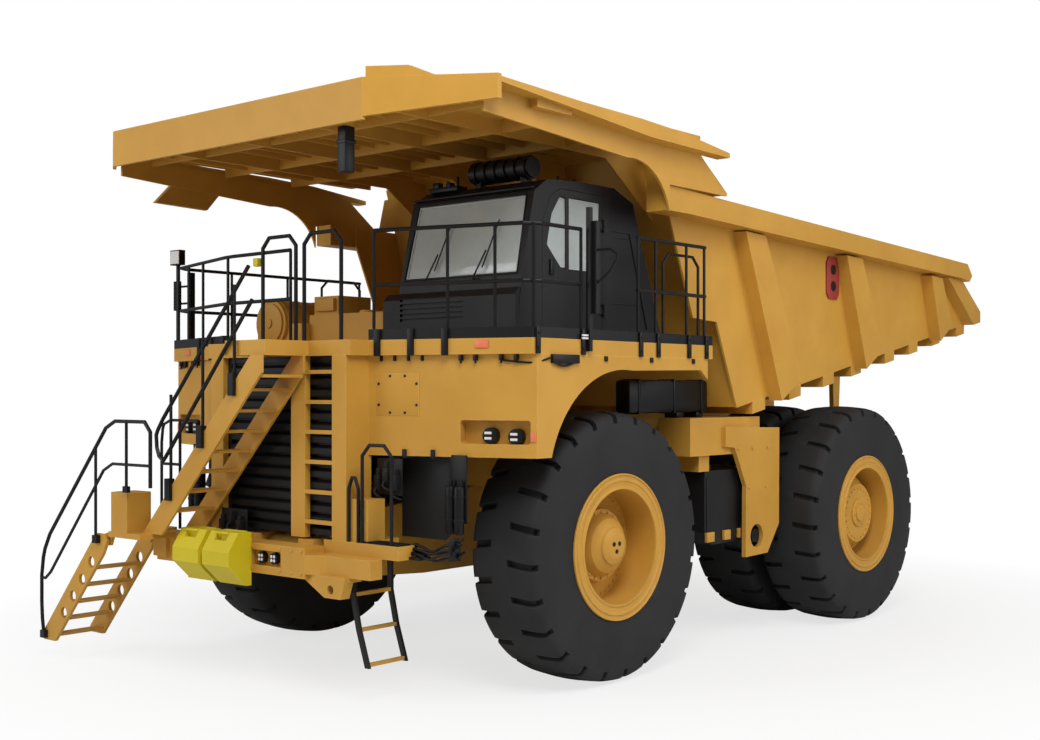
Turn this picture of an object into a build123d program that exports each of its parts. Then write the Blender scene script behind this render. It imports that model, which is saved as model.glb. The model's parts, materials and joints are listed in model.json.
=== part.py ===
from build123d import *
import os

os.makedirs("parts", exist_ok=True)

# Place of the truck's centre plane and mid-wheelbase in the shared frame
SHIFT_X = 30
SHIFT_Y = -580

# Wheels and track
WHEELBASE = 5180
FRONT_Y = -WHEELBASE / 2
REAR_Y = WHEELBASE / 2
TYRE_R = 1485
AXLE_Z = TYRE_R
TYRE_HALF = 450
BEAD_R = 690
RING_R = 802
RING_FACE = 430
LUG_COUNT = 24
LUG_SLOT = 95
LUG_DEPTH = 75
FRONT_X = 2430
KINGPIN_X = 1700
REAR_STRUT_Y = REAR_Y + 710
FRONT_BEAM = 240
REAR_IN_X = 1590
REAR_OUT_X = 2700
RUN_FIT = 0.05

# Frame
RAIL_IN = 380
RAIL_OUT = 620
FRAME_TOP = 2400

# Deck and cab
DECK_Z = 3720
DECK_T = 160
DECK_X = 3060
DECK_FRONT = -4960
DECK_REAR = -1100
COLUMN_X = 1160
COLUMN_IN = 940
CAB_LEFT = 2450
CAB_RIGHT = 600
CAB_WALL = 60
CAB_BACK = -2300
CAB_SILL = 4400

# Dump body, as places in the side view (y, z)
SIDE_IN = 2725
SHEET = 30
SIDE_OUT = SIDE_IN + SHEET
RIB_OUT = 2950
RAIL_X = 3050
FLOOR_Z0 = 3000
FLOOR_SLOPE = 0.19
TAIL_Y = 6900
HEAD_LOW_Y = -60
HEAD_TOP_Y = -950
HEAD_TOP_Z = 6090
CANOPY_FRONT = -5630
CANOPY_Z = 6160
CANOPY_X = 2140
CANOPY_SIDE_X = 3270
CANOPY_SIDE_Y = -4960
PIVOT_Y = 4050
PIVOT_Z = 2640
PIN_R = 80
PIN_FIT = 0.05

# Hoist cylinders, as places in the side view (y, z)
HOIST_X = 880
HOIST_LOW = (-300, 1250)
HOIST_HIGH = (1500, 2850)


def save(builder, name):
    solid = builder.part.moved(Location((SHIFT_X, SHIFT_Y, 0)))
    solid.label = name
    export_step(solid, f"parts/{name}.step")


def floor_z(y):
    return FLOOR_Z0 + FLOOR_SLOPE * y


def box(x0, x1, y0, y1, z0, z1, mode=Mode.ADD):
    """A plate or block between two corners, in the open part block."""
    low_x, high_x = sorted((x0, x1))
    with BuildSketch(Plane.XY.offset(z0)) as base:
        with Locations(((low_x + high_x) / 2, (y0 + y1) / 2)):
            Rectangle(high_x - low_x, y1 - y0)
    extrude(base.sketch, amount=z1 - z0, mode=mode)


def side_prism(points, x0, x1, mode=Mode.ADD):
    """A side-view outline (y, z) carried across from x0 to x1."""
    low_x, high_x = sorted((x0, x1))
    with BuildSketch(Plane.YZ.offset(low_x)) as outline:
        Polygon(*points, align=None)
    extrude(outline.sketch, amount=high_x - low_x, mode=mode)


def front_prism(points, y0, y1, mode=Mode.ADD):
    """A front-view outline (x, z) carried back from y0 to y1."""
    with BuildSketch(Plane.XZ.offset(-y1)) as outline:
        Polygon(*points, align=None)
    extrude(outline.sketch, amount=y1 - y0, mode=mode)


def plan_prism(points, z0, z1, mode=Mode.ADD):
    """A plan outline (x, y) carried up from z0 to z1."""
    with BuildSketch(Plane.XY.offset(z0)) as outline:
        Polygon(*points, align=None)
    extrude(outline.sketch, amount=z1 - z0, mode=mode)


def cross_bore(centre, x0, x1, radius, mode=Mode.SUBTRACT):
    """A round bore or boss across the truck at a side-view place (y, z)."""
    low_x, high_x = sorted((x0, x1))
    with BuildSketch(Plane.YZ.offset(low_x)) as section:
        with Locations(centre):
            Circle(radius)
    extrude(section.sketch, amount=high_x - low_x, mode=mode)


def cut_corners(points, size):
    """Each inner corner of a run becomes two, so that a bent tube looks round."""
    run = [points[0]]
    for before, corner, after in zip(points, points[1:], points[2:]):
        for end in (before, after):
            toward = Vector(*end) - Vector(*corner)
            run.append(tuple(Vector(*corner) + toward.normalized() * min(size, toward.length / 3)))
    return run + [points[-1]]


def tube(points, radius, bend=110):
    """A bent tube of eight sides along a run of places."""
    with BuildLine() as run:
        Polyline(*cut_corners(points, bend))
    with BuildSketch(Plane(run.line @ 0, z_dir=run.line % 0)) as section:
        RegularPolygon(radius, 8)
    sweep(section.sketch, path=run.line, transition=Transition.RIGHT)


def rod_between(start, end, radius):
    """A round bar from one place to another."""
    run = Edge.make_line(start, end)
    with BuildSketch(Plane(start, z_dir=run % 0)) as section:
        Circle(radius)
    extrude(section.sketch, amount=run.length)


# Tyres and wheels

TYRE_SECTION = [
    (-415, BEAD_R),
    (-420, RING_R),
    (-TYRE_HALF, 1060),
    (-TYRE_HALF, 1300),
    (-415, 1450),
    (-330, TYRE_R),
    (330, TYRE_R),
    (415, 1450),
    (TYRE_HALF, 1300),
    (TYRE_HALF, 1060),
    (420, RING_R),
    (415, BEAD_R),
]


def ring(points, x, y):
    """A section of (offset along the axle, radius) turned round the axle."""
    with BuildSketch(Plane((x, y, AXLE_Z), x_dir=(1, 0, 0), z_dir=(0, -1, 0))) as section:
        Polygon(*points, align=None)
    revolve(section.sketch, axis=Axis((0, y, AXLE_Z), (1, 0, 0)))


def tyre_at(x, y):
    """A tyre with slots between the lugs of both shoulders."""
    ring(TYRE_SECTION, x, y)
    step = 360 / LUG_COUNT
    for end, phase in ((1, 0), (-1, 0.5)):
        outer = Plane((x + end * (TYRE_HALF + 1), y, AXLE_Z), x_dir=(0, 1, 0), z_dir=(end, 0, 0))
        with BuildSketch(outer) as slots:
            with PolarLocations(TYRE_R, LUG_COUNT, start_angle=phase * step):
                Rectangle(2 * LUG_DEPTH, LUG_SLOT)
        extrude(slots.sketch, amount=-260, mode=Mode.SUBTRACT)


RIM_SECTION = [
    (-RING_FACE, BEAD_R - 60),
    (-RING_FACE, RING_R - 2),
    (-421, RING_R - 2),
    (-416, BEAD_R),
    (416, BEAD_R),
    (421, RING_R - 2),
    (RING_FACE, RING_R - 2),
    (RING_FACE, BEAD_R - 60),
]
SPINDLE_R = 180
FRONT_HUB = [
    (-230, SPINDLE_R + RUN_FIT),
    (-230, 330),
    (-60, 420),
    (-60, BEAD_R - 59),
    (20, BEAD_R - 59),
    (20, 430),
    (260, 300),
    (330, 200),
    (330, 0),
    (180, 0),
    (180, SPINDLE_R + RUN_FIT),
]
AXLE_TUBE_R = 350
REAR_HUB = [
    (-1300, AXLE_TUBE_R + RUN_FIT),
    (-1300, BEAD_R - 59),
    (-1240, BEAD_R - 59),
    (-1240, 480),
    (-260, 480),
    (-260, BEAD_R - 59),
    (-200, BEAD_R - 59),
    (-200, 520),
    (150, 520),
    (300, 400),
    (300, 0),
    (200, 0),
    (200, AXLE_TUBE_R + RUN_FIT),
]

for side, word in ((1, "left"), (-1, "right")):
    with BuildPart() as front_tyre:
        tyre_at(side * FRONT_X, FRONT_Y)
    save(front_tyre, f"front_tyre_{word}")
    with BuildPart() as twin_tyres:
        tyre_at(side * REAR_OUT_X, REAR_Y)
        tyre_at(side * REAR_IN_X, REAR_Y)
    save(twin_tyres, f"rear_tyres_{word}")
    with BuildPart() as front_rim:
        ring(RIM_SECTION, side * FRONT_X, FRONT_Y)
        ring([(side * a, r) for a, r in FRONT_HUB], side * FRONT_X, FRONT_Y)
    save(front_rim, f"front_rim_{word}")
    with BuildPart() as rear_rims:
        ring(RIM_SECTION, side * REAR_OUT_X, REAR_Y)
        ring(RIM_SECTION, side * REAR_IN_X, REAR_Y)
        ring([(side * a, r) for a, r in REAR_HUB], side * REAR_OUT_X, REAR_Y)
    save(rear_rims, f"rear_rims_{word}")

# Steering knuckles: strut foot, spindle and steering arm

for side, word in ((1, "left"), (-1, "right")):
    with BuildPart() as knuckle:
        rod_between((side * KINGPIN_X, FRONT_Y, 1150), (side * KINGPIN_X, FRONT_Y, 1900), 200)
        start = (side * KINGPIN_X, FRONT_Y, AXLE_Z)
        rod_between(start, (side * (FRONT_X - 240), FRONT_Y, AXLE_Z), 230)
        rod_between(start, (side * (FRONT_X + 170), FRONT_Y, AXLE_Z), SPINDLE_R)
        box(side * (KINGPIN_X - 60), side * (KINGPIN_X + 60), FRONT_Y, FRONT_Y + 620, 1180, 1300)
    save(knuckle, f"knuckle_{word}")

# Main frame: two box rails, cross tubes, front arch, deck posts and rear pivot ears

RAIL_SIDE = [
    (-4990, 1620),
    (-4990, 1200),
    (-3400, 1100),
    (700, 1100),
    (1500, 1350),
    (1900, 2010),
    (3300, 2010),
    (3700, 1850),
    (4300, 2100),
    (4300, FRAME_TOP),
    (-1400, FRAME_TOP),
    (-2100, 2100),
    (-4400, 1850),
    (-4780, 1620),
]
PIVOT_EAR = [
    (3650, 2100),
    (4300, 2100),
    (4300, PIVOT_Z),
    (4180, PIVOT_Z + 150),
    (3920, PIVOT_Z + 150),
    (3800, PIVOT_Z),
]
# Cross tubes as (y, z, radius)
CROSS_TUBES = [(-4700, 1450, 150), (-1500, 1500, 190), (900, 1600, 190), (3500, 2160, 140)]
HOIST_PIN_R = 60

with BuildPart() as main_frame:
    for side in (1, -1):
        side_prism(RAIL_SIDE, side * RAIL_IN, side * RAIL_OUT)
    for y, z, r in CROSS_TUBES:
        rod_between((-RAIL_IN, y, z), (RAIL_IN, y, z), r)
    box(-1480, 1480, FRONT_Y - FRONT_BEAM, FRONT_Y + FRONT_BEAM, 2080, 2500)
    for side in (1, -1):
        box(side * 1330, side * (KINGPIN_X + 60), FRONT_Y - 200, FRONT_Y + 200, 2500, 2860)
        box(side * 1400, side * 1560, FRONT_Y - 150, FRONT_Y + 150, 2860, DECK_Z - DECK_T)
        box(side * RAIL_IN, side * RAIL_OUT, -1400, -1200, FRAME_TOP, DECK_Z - DECK_T)
        box(side * RAIL_OUT, side * 2600, -720, -500, 2200, FRAME_TOP)
        box(side * RAIL_OUT, side * 1000, REAR_STRUT_Y - 120, REAR_STRUT_Y + 120, 2250, FRAME_TOP)
        side_prism(PIVOT_EAR, side * 640, side * 740)
        box(side * RAIL_OUT, side * 640, 3700, 4300, 2100, FRAME_TOP)
        rod_between((side * RAIL_OUT, *HOIST_LOW), (side * (HOIST_X + 150), *HOIST_LOW), HOIST_PIN_R)
    rod_between((-740, PIVOT_Y, PIVOT_Z), (740, PIVOT_Y, PIVOT_Z), PIN_R)
save(main_frame, "main_frame")

with BuildPart() as suspension_struts:
    for side in (1, -1):
        rod_between((side * KINGPIN_X, FRONT_Y, 1900), (side * KINGPIN_X, FRONT_Y, 2500), 160)
        rod_between((side * 850, REAR_STRUT_Y, AXLE_Z + 150), (side * 850, REAR_STRUT_Y, 2250), 130)
save(suspension_struts, "suspension_struts")

with BuildPart() as rear_axle:
    rod_between((-1380, REAR_Y, AXLE_Z), (1380, REAR_Y, AXLE_Z), 430)
    for side in (1, -1):
        tube_end = (side * (REAR_OUT_X + 190), REAR_Y, AXLE_Z)
        rod_between((side * 1300, REAR_Y, AXLE_Z), tube_end, AXLE_TUBE_R)
        box(side * 720, side * 980, REAR_Y + 300, REAR_STRUT_Y + 140, AXLE_Z - 150, AXLE_Z + 150)
    rod_between((0, REAR_Y - 620, AXLE_Z), (0, REAR_Y + 560, AXLE_Z), 470)
save(rear_axle, "rear_axle")

ENGINE_BACK = FRONT_Y - FRONT_BEAM - 70

with BuildPart() as engine_block:
    box(-RAIL_IN, RAIL_IN, -4450, ENGINE_BACK, 1350, 2080)
    box(-560, 560, -4400, ENGINE_BACK - 50, 2080, 3200)
save(engine_block, "engine_block")

# Bumper beam with the lamp recess, tow plates and the landing of the boarding stair

BUMPER_FRONT = -5250
BUMPER_BACK = -4990
TOW_X = 1155
TOW_Y = -5140
TOW_Z = 1165
TOW_BORE = 50
TOW_HALF = 60
TOW_PLATE = [(640, 1300), (1390, 1300), (1310, 1080), (1060, 1080)]
TOW_HANGER = [(640, 1250), (1390, 1250), (1390, 1300), (640, 1300)]
BUMPER_WING = [(810, BUMPER_FRONT), (1050, -5150), (1700, -5150), (1700, -4990), (810, -4990)]
BOARD_FRONT = -5750
BOARD_BACK = -5100
BOARD_HINGE = (-2130, 1500)
BOARD_PIN = 25
LANDING_Z = 1600
STRINGER_T = 40
EAR_T = 40
EAR_GAP = 10
EAR = [(-2190, 1430), (-2090, 1430), (-2040, 1540), (-2040, LANDING_Z), (-2190, 1560)]

with BuildPart() as front_bumper:
    box(-1850, 810, BUMPER_FRONT, BUMPER_BACK, 1250, 1570)
    box(-90, 420, BUMPER_FRONT - 1, BUMPER_FRONT + 70, 1335, 1500, Mode.SUBTRACT)
    for x in (60, 270):
        rod_between((x, BUMPER_FRONT + 70, 1418), (x, BUMPER_FRONT + 20, 1418), 55)
    plan_prism(BUMPER_WING, 1300, 1500)
    for side in (1, -1):
        front_prism([(side * x, z) for x, z in TOW_PLATE], TOW_Y - TOW_HALF, TOW_Y + TOW_HALF)
        front_prism([(side * x, z) for x, z in TOW_HANGER], -5150, BUMPER_BACK)
    for side in (1, -1):
        with BuildSketch(Plane.XZ.offset(-TOW_Y - TOW_HALF)) as tow_hole:
            with Locations((side * TOW_X, TOW_Z)):
                Circle(TOW_BORE)
        extrude(tow_hole.sketch, amount=2 * TOW_HALF, mode=Mode.SUBTRACT)
    box(-2040, -1850, BOARD_FRONT, -4990, LANDING_Z - 60, LANDING_Z)
    box(-1850, -1400, BOARD_FRONT, -5300, LANDING_Z - 60, LANDING_Z)
    box(-1850, -1600, -5300, BUMPER_FRONT, 1300, LANDING_Z)
    box(-1980, -1660, BOARD_FRONT, BOARD_FRONT + 300, LANDING_Z, 2050)
    for face, inner in ((BOARD_FRONT, 1), (BOARD_BACK, -1)):
        ear_near = face + inner * (STRINGER_T + EAR_GAP)
        ear_far = ear_near + inner * EAR_T
        front_prism(EAR, min(ear_near, ear_far), max(ear_near, ear_far))
        hinge_x, hinge_z = BOARD_HINGE
        pin_y, pin_end = sorted((face, ear_far))
        rod_between((hinge_x, pin_y, hinge_z), (hinge_x, pin_end, hinge_z), BOARD_PIN)
save(front_bumper, "front_bumper")

GRILLE_LOW = 1670
LOUVRE_STEP = 122

with BuildPart() as radiator_grille:
    box(-COLUMN_IN, COLUMN_IN, -4930, -4790, GRILLE_LOW, DECK_Z - DECK_T)
    for i in range(15):
        z = GRILLE_LOW + 60 + LOUVRE_STEP * i
        slot = [(-4931, z), (-4880, z + 35), (-4880, z + 80), (-4931, z + 60)]
        side_prism(slot, -880, 880, Mode.SUBTRACT)
save(radiator_grille, "radiator_grille")

# Fenders: swept front panels with the lamp pockets, side panels with their arches, and the columns

FENDER_LOW = 2520
FENDER_T = 40
FENDER_PLAN = [
    (COLUMN_X, -4700),
    (2150, -4440),
    (3060, -4180),
    (3060, -1200),
    (3060 - FENDER_T, -1200),
    (3060 - FENDER_T, -4150),
    (2140, -4440 + FENDER_T),
    (COLUMN_X, -4700 + FENDER_T),
]
LAMP_WALL = Plane((2150, -4440, 0), x_dir=(910, 260, 0), z_dir=(260, -910, 0))

with BuildPart() as front_fenders:
    plan_prism(FENDER_PLAN, FENDER_LOW, DECK_Z - DECK_T)
    with BuildSketch(Plane.YZ.offset(2900)) as arch:
        with BuildLine():
            ThreePointArc((-3960, FENDER_LOW), (-3600, 3100), (-2630, 3410))
            Polyline((-2630, 3410), (-1340, 3430), (-1200, 3320), (-1100, 3320), (-1100, 2400))
            Line((-1100, 2400), (-3960, 2400))
            Line((-3960, 2400), (-3960, FENDER_LOW))
        make_face()
    extrude(arch.sketch, amount=300, mode=Mode.SUBTRACT)
    with BuildSketch(LAMP_WALL) as pocket:
        with Locations((480, 2775)):
            Rectangle(860, 310)
    extrude(pocket.sketch, amount=-150)
    with BuildSketch(LAMP_WALL) as recess:
        with Locations((480, 2775)):
            RectangleRounded(790, 240, 30)
    extrude(recess.sketch, amount=-120, mode=Mode.SUBTRACT)
    with BuildSketch(LAMP_WALL.offset(-125)) as lamps:
        with Locations((400, 2740), (690, 2730)):
            Circle(75)
    extrude(lamps.sketch, amount=90)
    box(COLUMN_IN, COLUMN_X, -5000, -4700 + FENDER_T, 1640, DECK_Z - DECK_T)
    mirror(about=Plane.YZ)
    box(270, 500, -5000, -4930, 1640, DECK_Z - DECK_T)
save(front_fenders, "front_fenders")

DECK_EDGE = [(COLUMN_X + 60, -4750), (2150, -4500), (DECK_X, -4240)]
DECK_PLAN = [(COLUMN_X + 60, DECK_FRONT - 40), *DECK_EDGE, (DECK_X, DECK_REAR)]

with BuildPart() as deck:
    plan_prism(DECK_PLAN + [(-x, y) for x, y in reversed(DECK_PLAN)], DECK_Z - DECK_T, DECK_Z)
save(deck, "deck")

# Platform in front of the left wheel, with its two hand loops

PLATFORM_Z = 1640
PLATFORM_LOW = 1500
PLATFORM_PLAN = [
    (810, -5000),
    (1950, -5000),
    (1950, -4780),
    (1300, -4780),
    (1300, -4400),
    (RAIL_OUT + 5, -4400),
    (RAIL_OUT + 5, -4780),
    (810, -4780),
]

with BuildPart() as lower_platform:
    plan_prism(PLATFORM_PLAN, PLATFORM_LOW, PLATFORM_Z)
    box(COLUMN_X + 5, 1450, -4960, -4730, PLATFORM_Z, 2080)
    for x0, x1, top in ((1390, 1830, 2640), (1185, 1330, 2300)):
        tube([(x0, -4980, PLATFORM_Z), (x0, -4980, top), (x1, -4980, top), (x1, -4980, PLATFORM_Z)], 18)
save(lower_platform, "lower_platform")

# Ladder beside the grille, and the ladder hung on straps under the platform

STRAP = [
    (1205, PLATFORM_LOW),
    (1270, PLATFORM_LOW),
    (1275, 1100),
    (1365, 745),
    (1500, 370),
    (1435, 370),
    (1300, 745),
    (1210, 1100),
]
HUNG_RUNGS = [(1243, 1100), (1332, 745), (1455, 400)]

with BuildPart() as access_ladders:
    for i in range(6):
        z = 1810 + 316 * i
        box(500, COLUMN_IN, -5000, -4950, z - 20, z + 20)
    for y in (-4985, -4480):
        front_prism(STRAP, y, y + 30)
    for x, z in HUNG_RUNGS:
        box(x - 22, x + 22, -4955, -4480, z - 18, z + 18)
save(access_ladders, "access_ladders")

# Diagonal stair in front of the grille, its edges as a height above x

STAIR_TOP = 3180
STAIR_UNDER = 2820
STAIR_FRONT = -5600
STAIR_BACK = -5040
STAIR_END_X = 560
BEAM_Z = DECK_Z - DECK_T
TREAD_LOW = 1870
TREAD_STEP = 222

with BuildPart() as diagonal_stair:
    for y in (STAIR_FRONT, STAIR_BACK - 30):
        stringer = [
            (LANDING_Z - STAIR_TOP, LANDING_Z),
            (LANDING_Z - STAIR_UNDER, LANDING_Z),
            (STAIR_END_X, STAIR_UNDER + STAIR_END_X),
            (STAIR_END_X, BEAM_Z),
            (BEAM_Z - STAIR_TOP, BEAM_Z),
        ]
        front_prism(stringer, y, y + 30)
    for i in range(7):
        z = TREAD_LOW + TREAD_STEP * i
        box(z - STAIR_TOP + 50, z - STAIR_UNDER - 40, STAIR_FRONT + 30, STAIR_BACK - 30, z - 15, z + 15)
    box(0, STAIR_END_X, STAIR_FRONT + 30, STAIR_BACK - 30, BEAM_Z - 230, BEAM_Z - 200)
    box(-120, STAIR_END_X, STAIR_FRONT + 45, DECK_FRONT - 40, BEAM_Z, DECK_Z)
save(diagonal_stair, "diagonal_stair")

# Handrails and kick boards round the deck, gate loops, and the rails of the diagonal stair

RAIL_R = 21
POST_R = 17
KICK_H = 110
KICK_T = 12
RAIL_SIDE_X = 3030
LEFT_RUN = [
    (COLUMN_X + 100, -4710),
    (2100, -4470),
    (2620, -4320),
    (RAIL_SIDE_X, -4200),
    (RAIL_SIDE_X, -3470),
]
LEFT_BACK_RUN = [(RAIL_SIDE_X, -2520), (RAIL_SIDE_X, -1210)]
RIGHT_RUN = [
    (-60, -4750),
    (-1260, -4710),
    (-2100, -4470),
    (-2620, -4320),
    (-RAIL_SIDE_X, -4200),
    (-RAIL_SIDE_X, -1210),
]
# Columns: run, height of the top rail, height of the middle rail
RAIL_RUNS = [(LEFT_RUN, 4860, 4290), (LEFT_BACK_RUN, 4860, 4290), (RIGHT_RUN, 4740, 4200)]
SIDE_POSTS = [(1, -2500), (1, -2180), (1, -1590), (1, -1230), (-1, -3400), (-1, -2500), (-1, -1230)]
POST_TOP = {1: 4860, -1: 4740}
GATE_Z = 4740
GATE_TOP = 4860
GATE_LOOPS = [(-270, 300), (440, 1040)]
STAIR_POSTS = (-1060, -470, 90)
LANDING_RAIL_Y = -5090
LANDING_RAILS = [
    [(-2010, LANDING_Z), (-2010, 2700), (-1940, 2850), (-1280, 2850)],
    [(-2010, 2340), (-1640, 2340)],
    [(-1640, LANDING_Z), (-1640, 2850)],
]

with BuildPart() as handrails:
    for run, top, middle in RAIL_RUNS:
        for z in (top, middle):
            tube([(x, y, z) for x, y in run], RAIL_R)
    for run, top, middle in (RAIL_RUNS[0], RAIL_RUNS[2]):
        for x, y in run[:5]:
            tube([(x, y, DECK_Z), (x, y, top)], POST_R)
    for side, y in SIDE_POSTS:
        tube([(side * RAIL_SIDE_X, y, DECK_Z), (side * RAIL_SIDE_X, y, POST_TOP[side])], POST_R)
    for side in (1, -1):
        gate = [(-1960, DECK_Z), (-1960, GATE_Z), (-1270, GATE_Z), (-1270, DECK_Z)]
        tube([(side * 2970, y, z) for y, z in gate], POST_R)
        box(side * (DECK_X - KICK_T), side * DECK_X, -4180, DECK_REAR, DECK_Z, DECK_Z + KICK_H)
        kick = [(side * x, y) for x, y in DECK_EDGE]
        kick_back = [(x, y + KICK_T) for x, y in reversed(kick)]
        plan_prism(kick + kick_back, DECK_Z, DECK_Z + KICK_H)
    for x0, x1 in GATE_LOOPS:
        loop = [(x0, DECK_Z), (x0, GATE_TOP), (x1, GATE_TOP), (x1, DECK_Z)]
        tube([(x, -4960, z) for x, z in loop], RAIL_R)
    stair_y = STAIR_FRONT + 15
    hairpin = [(330, 4480), (-1290, 2800), (-1370, 2650), (-1250, 2380), (-1120, 2500), (390, 4130)]
    tube([(x, stair_y, z) for x, z in hairpin], RAIL_R)
    for x in STAIR_POSTS:
        foot = STAIR_TOP + x
        box(x - 45, x + 45, STAIR_FRONT - 40, STAIR_FRONT, foot - 130, foot + 50)
        box(x - 45, x + 45, STAIR_FRONT - 40, STAIR_FRONT + 30, foot + 50, foot + 110)
        tube([(x, stair_y, foot + 110), (x, stair_y, foot + 1030)], POST_R)
    for run in LANDING_RAILS:
        tube([(x, LANDING_RAIL_Y, z) for x, z in run], POST_R)
save(handrails, "handrails")

# Cab: shell with windscreen, door and side openings

CAB_SIDE = [
    (-3810, DECK_Z),
    (-3740, CAB_SILL),
    (-3540, 5310),
    (-3340, 5450),
    (-2790, 5490),
    (CAB_BACK, 5490),
    (CAB_BACK, DECK_Z),
]
CAB_INNER = [
    (-3740, DECK_Z + CAB_WALL),
    (-3680, CAB_SILL),
    (-3480, 5290),
    (-3310, 5385),
    (-2790, 5425),
    (CAB_BACK - CAB_WALL, 5425),
    (CAB_BACK - CAB_WALL, DECK_Z + CAB_WALL),
]
SCREEN = Plane((0, -3740, CAB_SILL), x_dir=(1, 0, 0), z_dir=(0, -910, 200))
SCREEN_EDGE = [(660, 30), (2380, 30), (2350, 900), (700, 900)]
DOOR_LOW = DECK_Z + 130
DOOR_EDGE = [
    (-3420, DOOR_LOW),
    (-3420, 5000),
    (-3290, 5280),
    (-3120, 5380),
    (-2400, 5380),
    (-2400, DOOR_LOW),
]
DOOR_T = 50
DOOR_GAP = 6
HINGE_X = CAB_LEFT + 22
HINGE_Y = -2390
HINGE_PIN = 12
HINGE_R = 22
HINGE_HEIGHTS = (4050, 5000)
QUARTER_PANE = [(-3350, 4750), (-3110, 4510), (-3035, 4510), (-3035, 5290), (-3130, 5300), (-3270, 5100)]
DOOR_PANE = [(-2985, 4500), (-2540, 4500), (-2450, 4950), (-2450, 5300), (-2985, 5300)]

with BuildPart() as cab_shell:
    side_prism(CAB_SIDE, CAB_RIGHT, CAB_LEFT)
    side_prism(CAB_INNER, CAB_RIGHT + CAB_WALL, CAB_LEFT - CAB_WALL, Mode.SUBTRACT)
    with BuildSketch(SCREEN) as screen_cut:
        Polygon(*SCREEN_EDGE, align=None)
    extrude(screen_cut.sketch, amount=-120, mode=Mode.SUBTRACT)
    extrude(screen_cut.sketch, amount=60, mode=Mode.SUBTRACT)
    side_prism(DOOR_EDGE, CAB_LEFT - CAB_WALL - 10, CAB_LEFT + 10, Mode.SUBTRACT)
    for pane in (QUARTER_PANE, DOOR_PANE):
        side_prism(pane, CAB_RIGHT - 10, CAB_RIGHT + CAB_WALL + 10, Mode.SUBTRACT)
    for z in HINGE_HEIGHTS:
        for low in (z - 30, z + 80):
            box(CAB_LEFT, HINGE_X + 20, HINGE_Y, HINGE_Y + 24, low, low + 30)
            rod_between((HINGE_X, HINGE_Y, low), (HINGE_X, HINGE_Y, low + 30), HINGE_R)
        rod_between((HINGE_X, HINGE_Y, z - 10), (HINGE_X, HINGE_Y, z + 90), HINGE_PIN)
save(cab_shell, "cab_shell")

GLASS_T = 12

with BuildPart() as cab_glass:
    with BuildSketch(SCREEN.offset(-30)) as screen:
        Polygon(*SCREEN_EDGE, align=None)
    extrude(screen.sketch, amount=GLASS_T)
    for pane in (QUARTER_PANE, DOOR_PANE):
        side_prism(pane, CAB_RIGHT + 20, CAB_RIGHT + 20 + GLASS_T)
save(cab_glass, "cab_glass")

with BuildPart() as cab_door:
    with BuildSketch(Plane.YZ.offset(CAB_LEFT - DOOR_T)) as leaf:
        Polygon(*DOOR_EDGE, align=None)
        offset(amount=-DOOR_GAP, mode=Mode.REPLACE)
    extrude(leaf.sketch, amount=DOOR_T)
    for pane in (QUARTER_PANE, DOOR_PANE):
        side_prism(pane, CAB_LEFT - DOOR_T - 10, CAB_LEFT + 10, Mode.SUBTRACT)
    for z in HINGE_HEIGHTS:
        box(CAB_LEFT, CAB_LEFT + 12, HINGE_Y - 120, HINGE_Y - 16, z, z + 80)
        rod_between((HINGE_X, HINGE_Y, z), (HINGE_X, HINGE_Y, z + 80), HINGE_R)
        with BuildSketch(Plane.XY.offset(z)) as knuckle_bore:
            with Locations((HINGE_X, HINGE_Y)):
                Circle(HINGE_PIN + RUN_FIT)
        extrude(knuckle_bore.sketch, amount=80, mode=Mode.SUBTRACT)
save(cab_door, "cab_door")

with BuildPart() as door_glass:
    for pane in (QUARTER_PANE, DOOR_PANE):
        side_prism(pane, CAB_LEFT - 30, CAB_LEFT - 30 + GLASS_T)
save(door_glass, "door_glass")

# Louvred box under the windscreen, and the cabinet behind the cab

CABINET = [(CAB_BACK, DECK_Z), (CAB_BACK, 5490), (-2190, 5490), (-1840, 5350), (-1250, DECK_Z)]
CABINET_POCKET = [(-2240, 3900), (-2240, 5000), (-1900, 5000), (-1560, 3900)]

with BuildPart() as cab_base:
    side_prism([(-3840, DECK_Z), (-3840, 4200), (-3764, 4280), (-3810, DECK_Z)], 420, 2450)
    for i in range(5):
        z = 3960 + 55 * i
        box(700, 1700, -3841, -3815, z, z + 32, Mode.SUBTRACT)
    side_prism(CABINET, CAB_RIGHT, CAB_LEFT)
    side_prism(CABINET_POCKET, CAB_LEFT - 15, CAB_LEFT + 1, Mode.SUBTRACT)
save(cab_base, "cab_base")

with BuildPart() as cab_seat:
    box(1250, 1750, -2900, -2450, DECK_Z + CAB_WALL, DECK_Z + 450)
    box(1230, 1770, -2960, -2420, DECK_Z + 450, DECK_Z + 590)
    box(1250, 1750, -2520, -2400, DECK_Z + 590, DECK_Z + 1250)
    box(1150, 1850, -3600, -3430, DECK_Z + CAB_WALL, DECK_Z + 640)
save(cab_seat, "cab_seat")

ROOF_CYLINDER_Y = -3200
ROOF_CYLINDER_Z = 5635
ROOF_FOOT = [(-3250, 5456.6), (-3250, 5540), (-3150, 5540), (-3150, 5463.9)]
BAND_STEP = 150

with BuildPart() as roof_cylinder:
    rod_between((1240, ROOF_CYLINDER_Y, ROOF_CYLINDER_Z), (2130, ROOF_CYLINDER_Y, ROOF_CYLINDER_Z), 115)
    for i in range(6):
        x = 1270 + BAND_STEP * i
        rod_between((x, ROOF_CYLINDER_Y, ROOF_CYLINDER_Z), (x + 80, ROOF_CYLINDER_Y, ROOF_CYLINDER_Z), 132)
    for x in (1300, 1980):
        side_prism(ROOF_FOOT, x, x + 80)
save(roof_cylinder, "roof_cylinder")

# Mirrors at the deck edges, with guard loops, and the lamp on the right

LEFT_MIRROR_Y = -3400
RIGHT_MIRROR_Y = -3970

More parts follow.
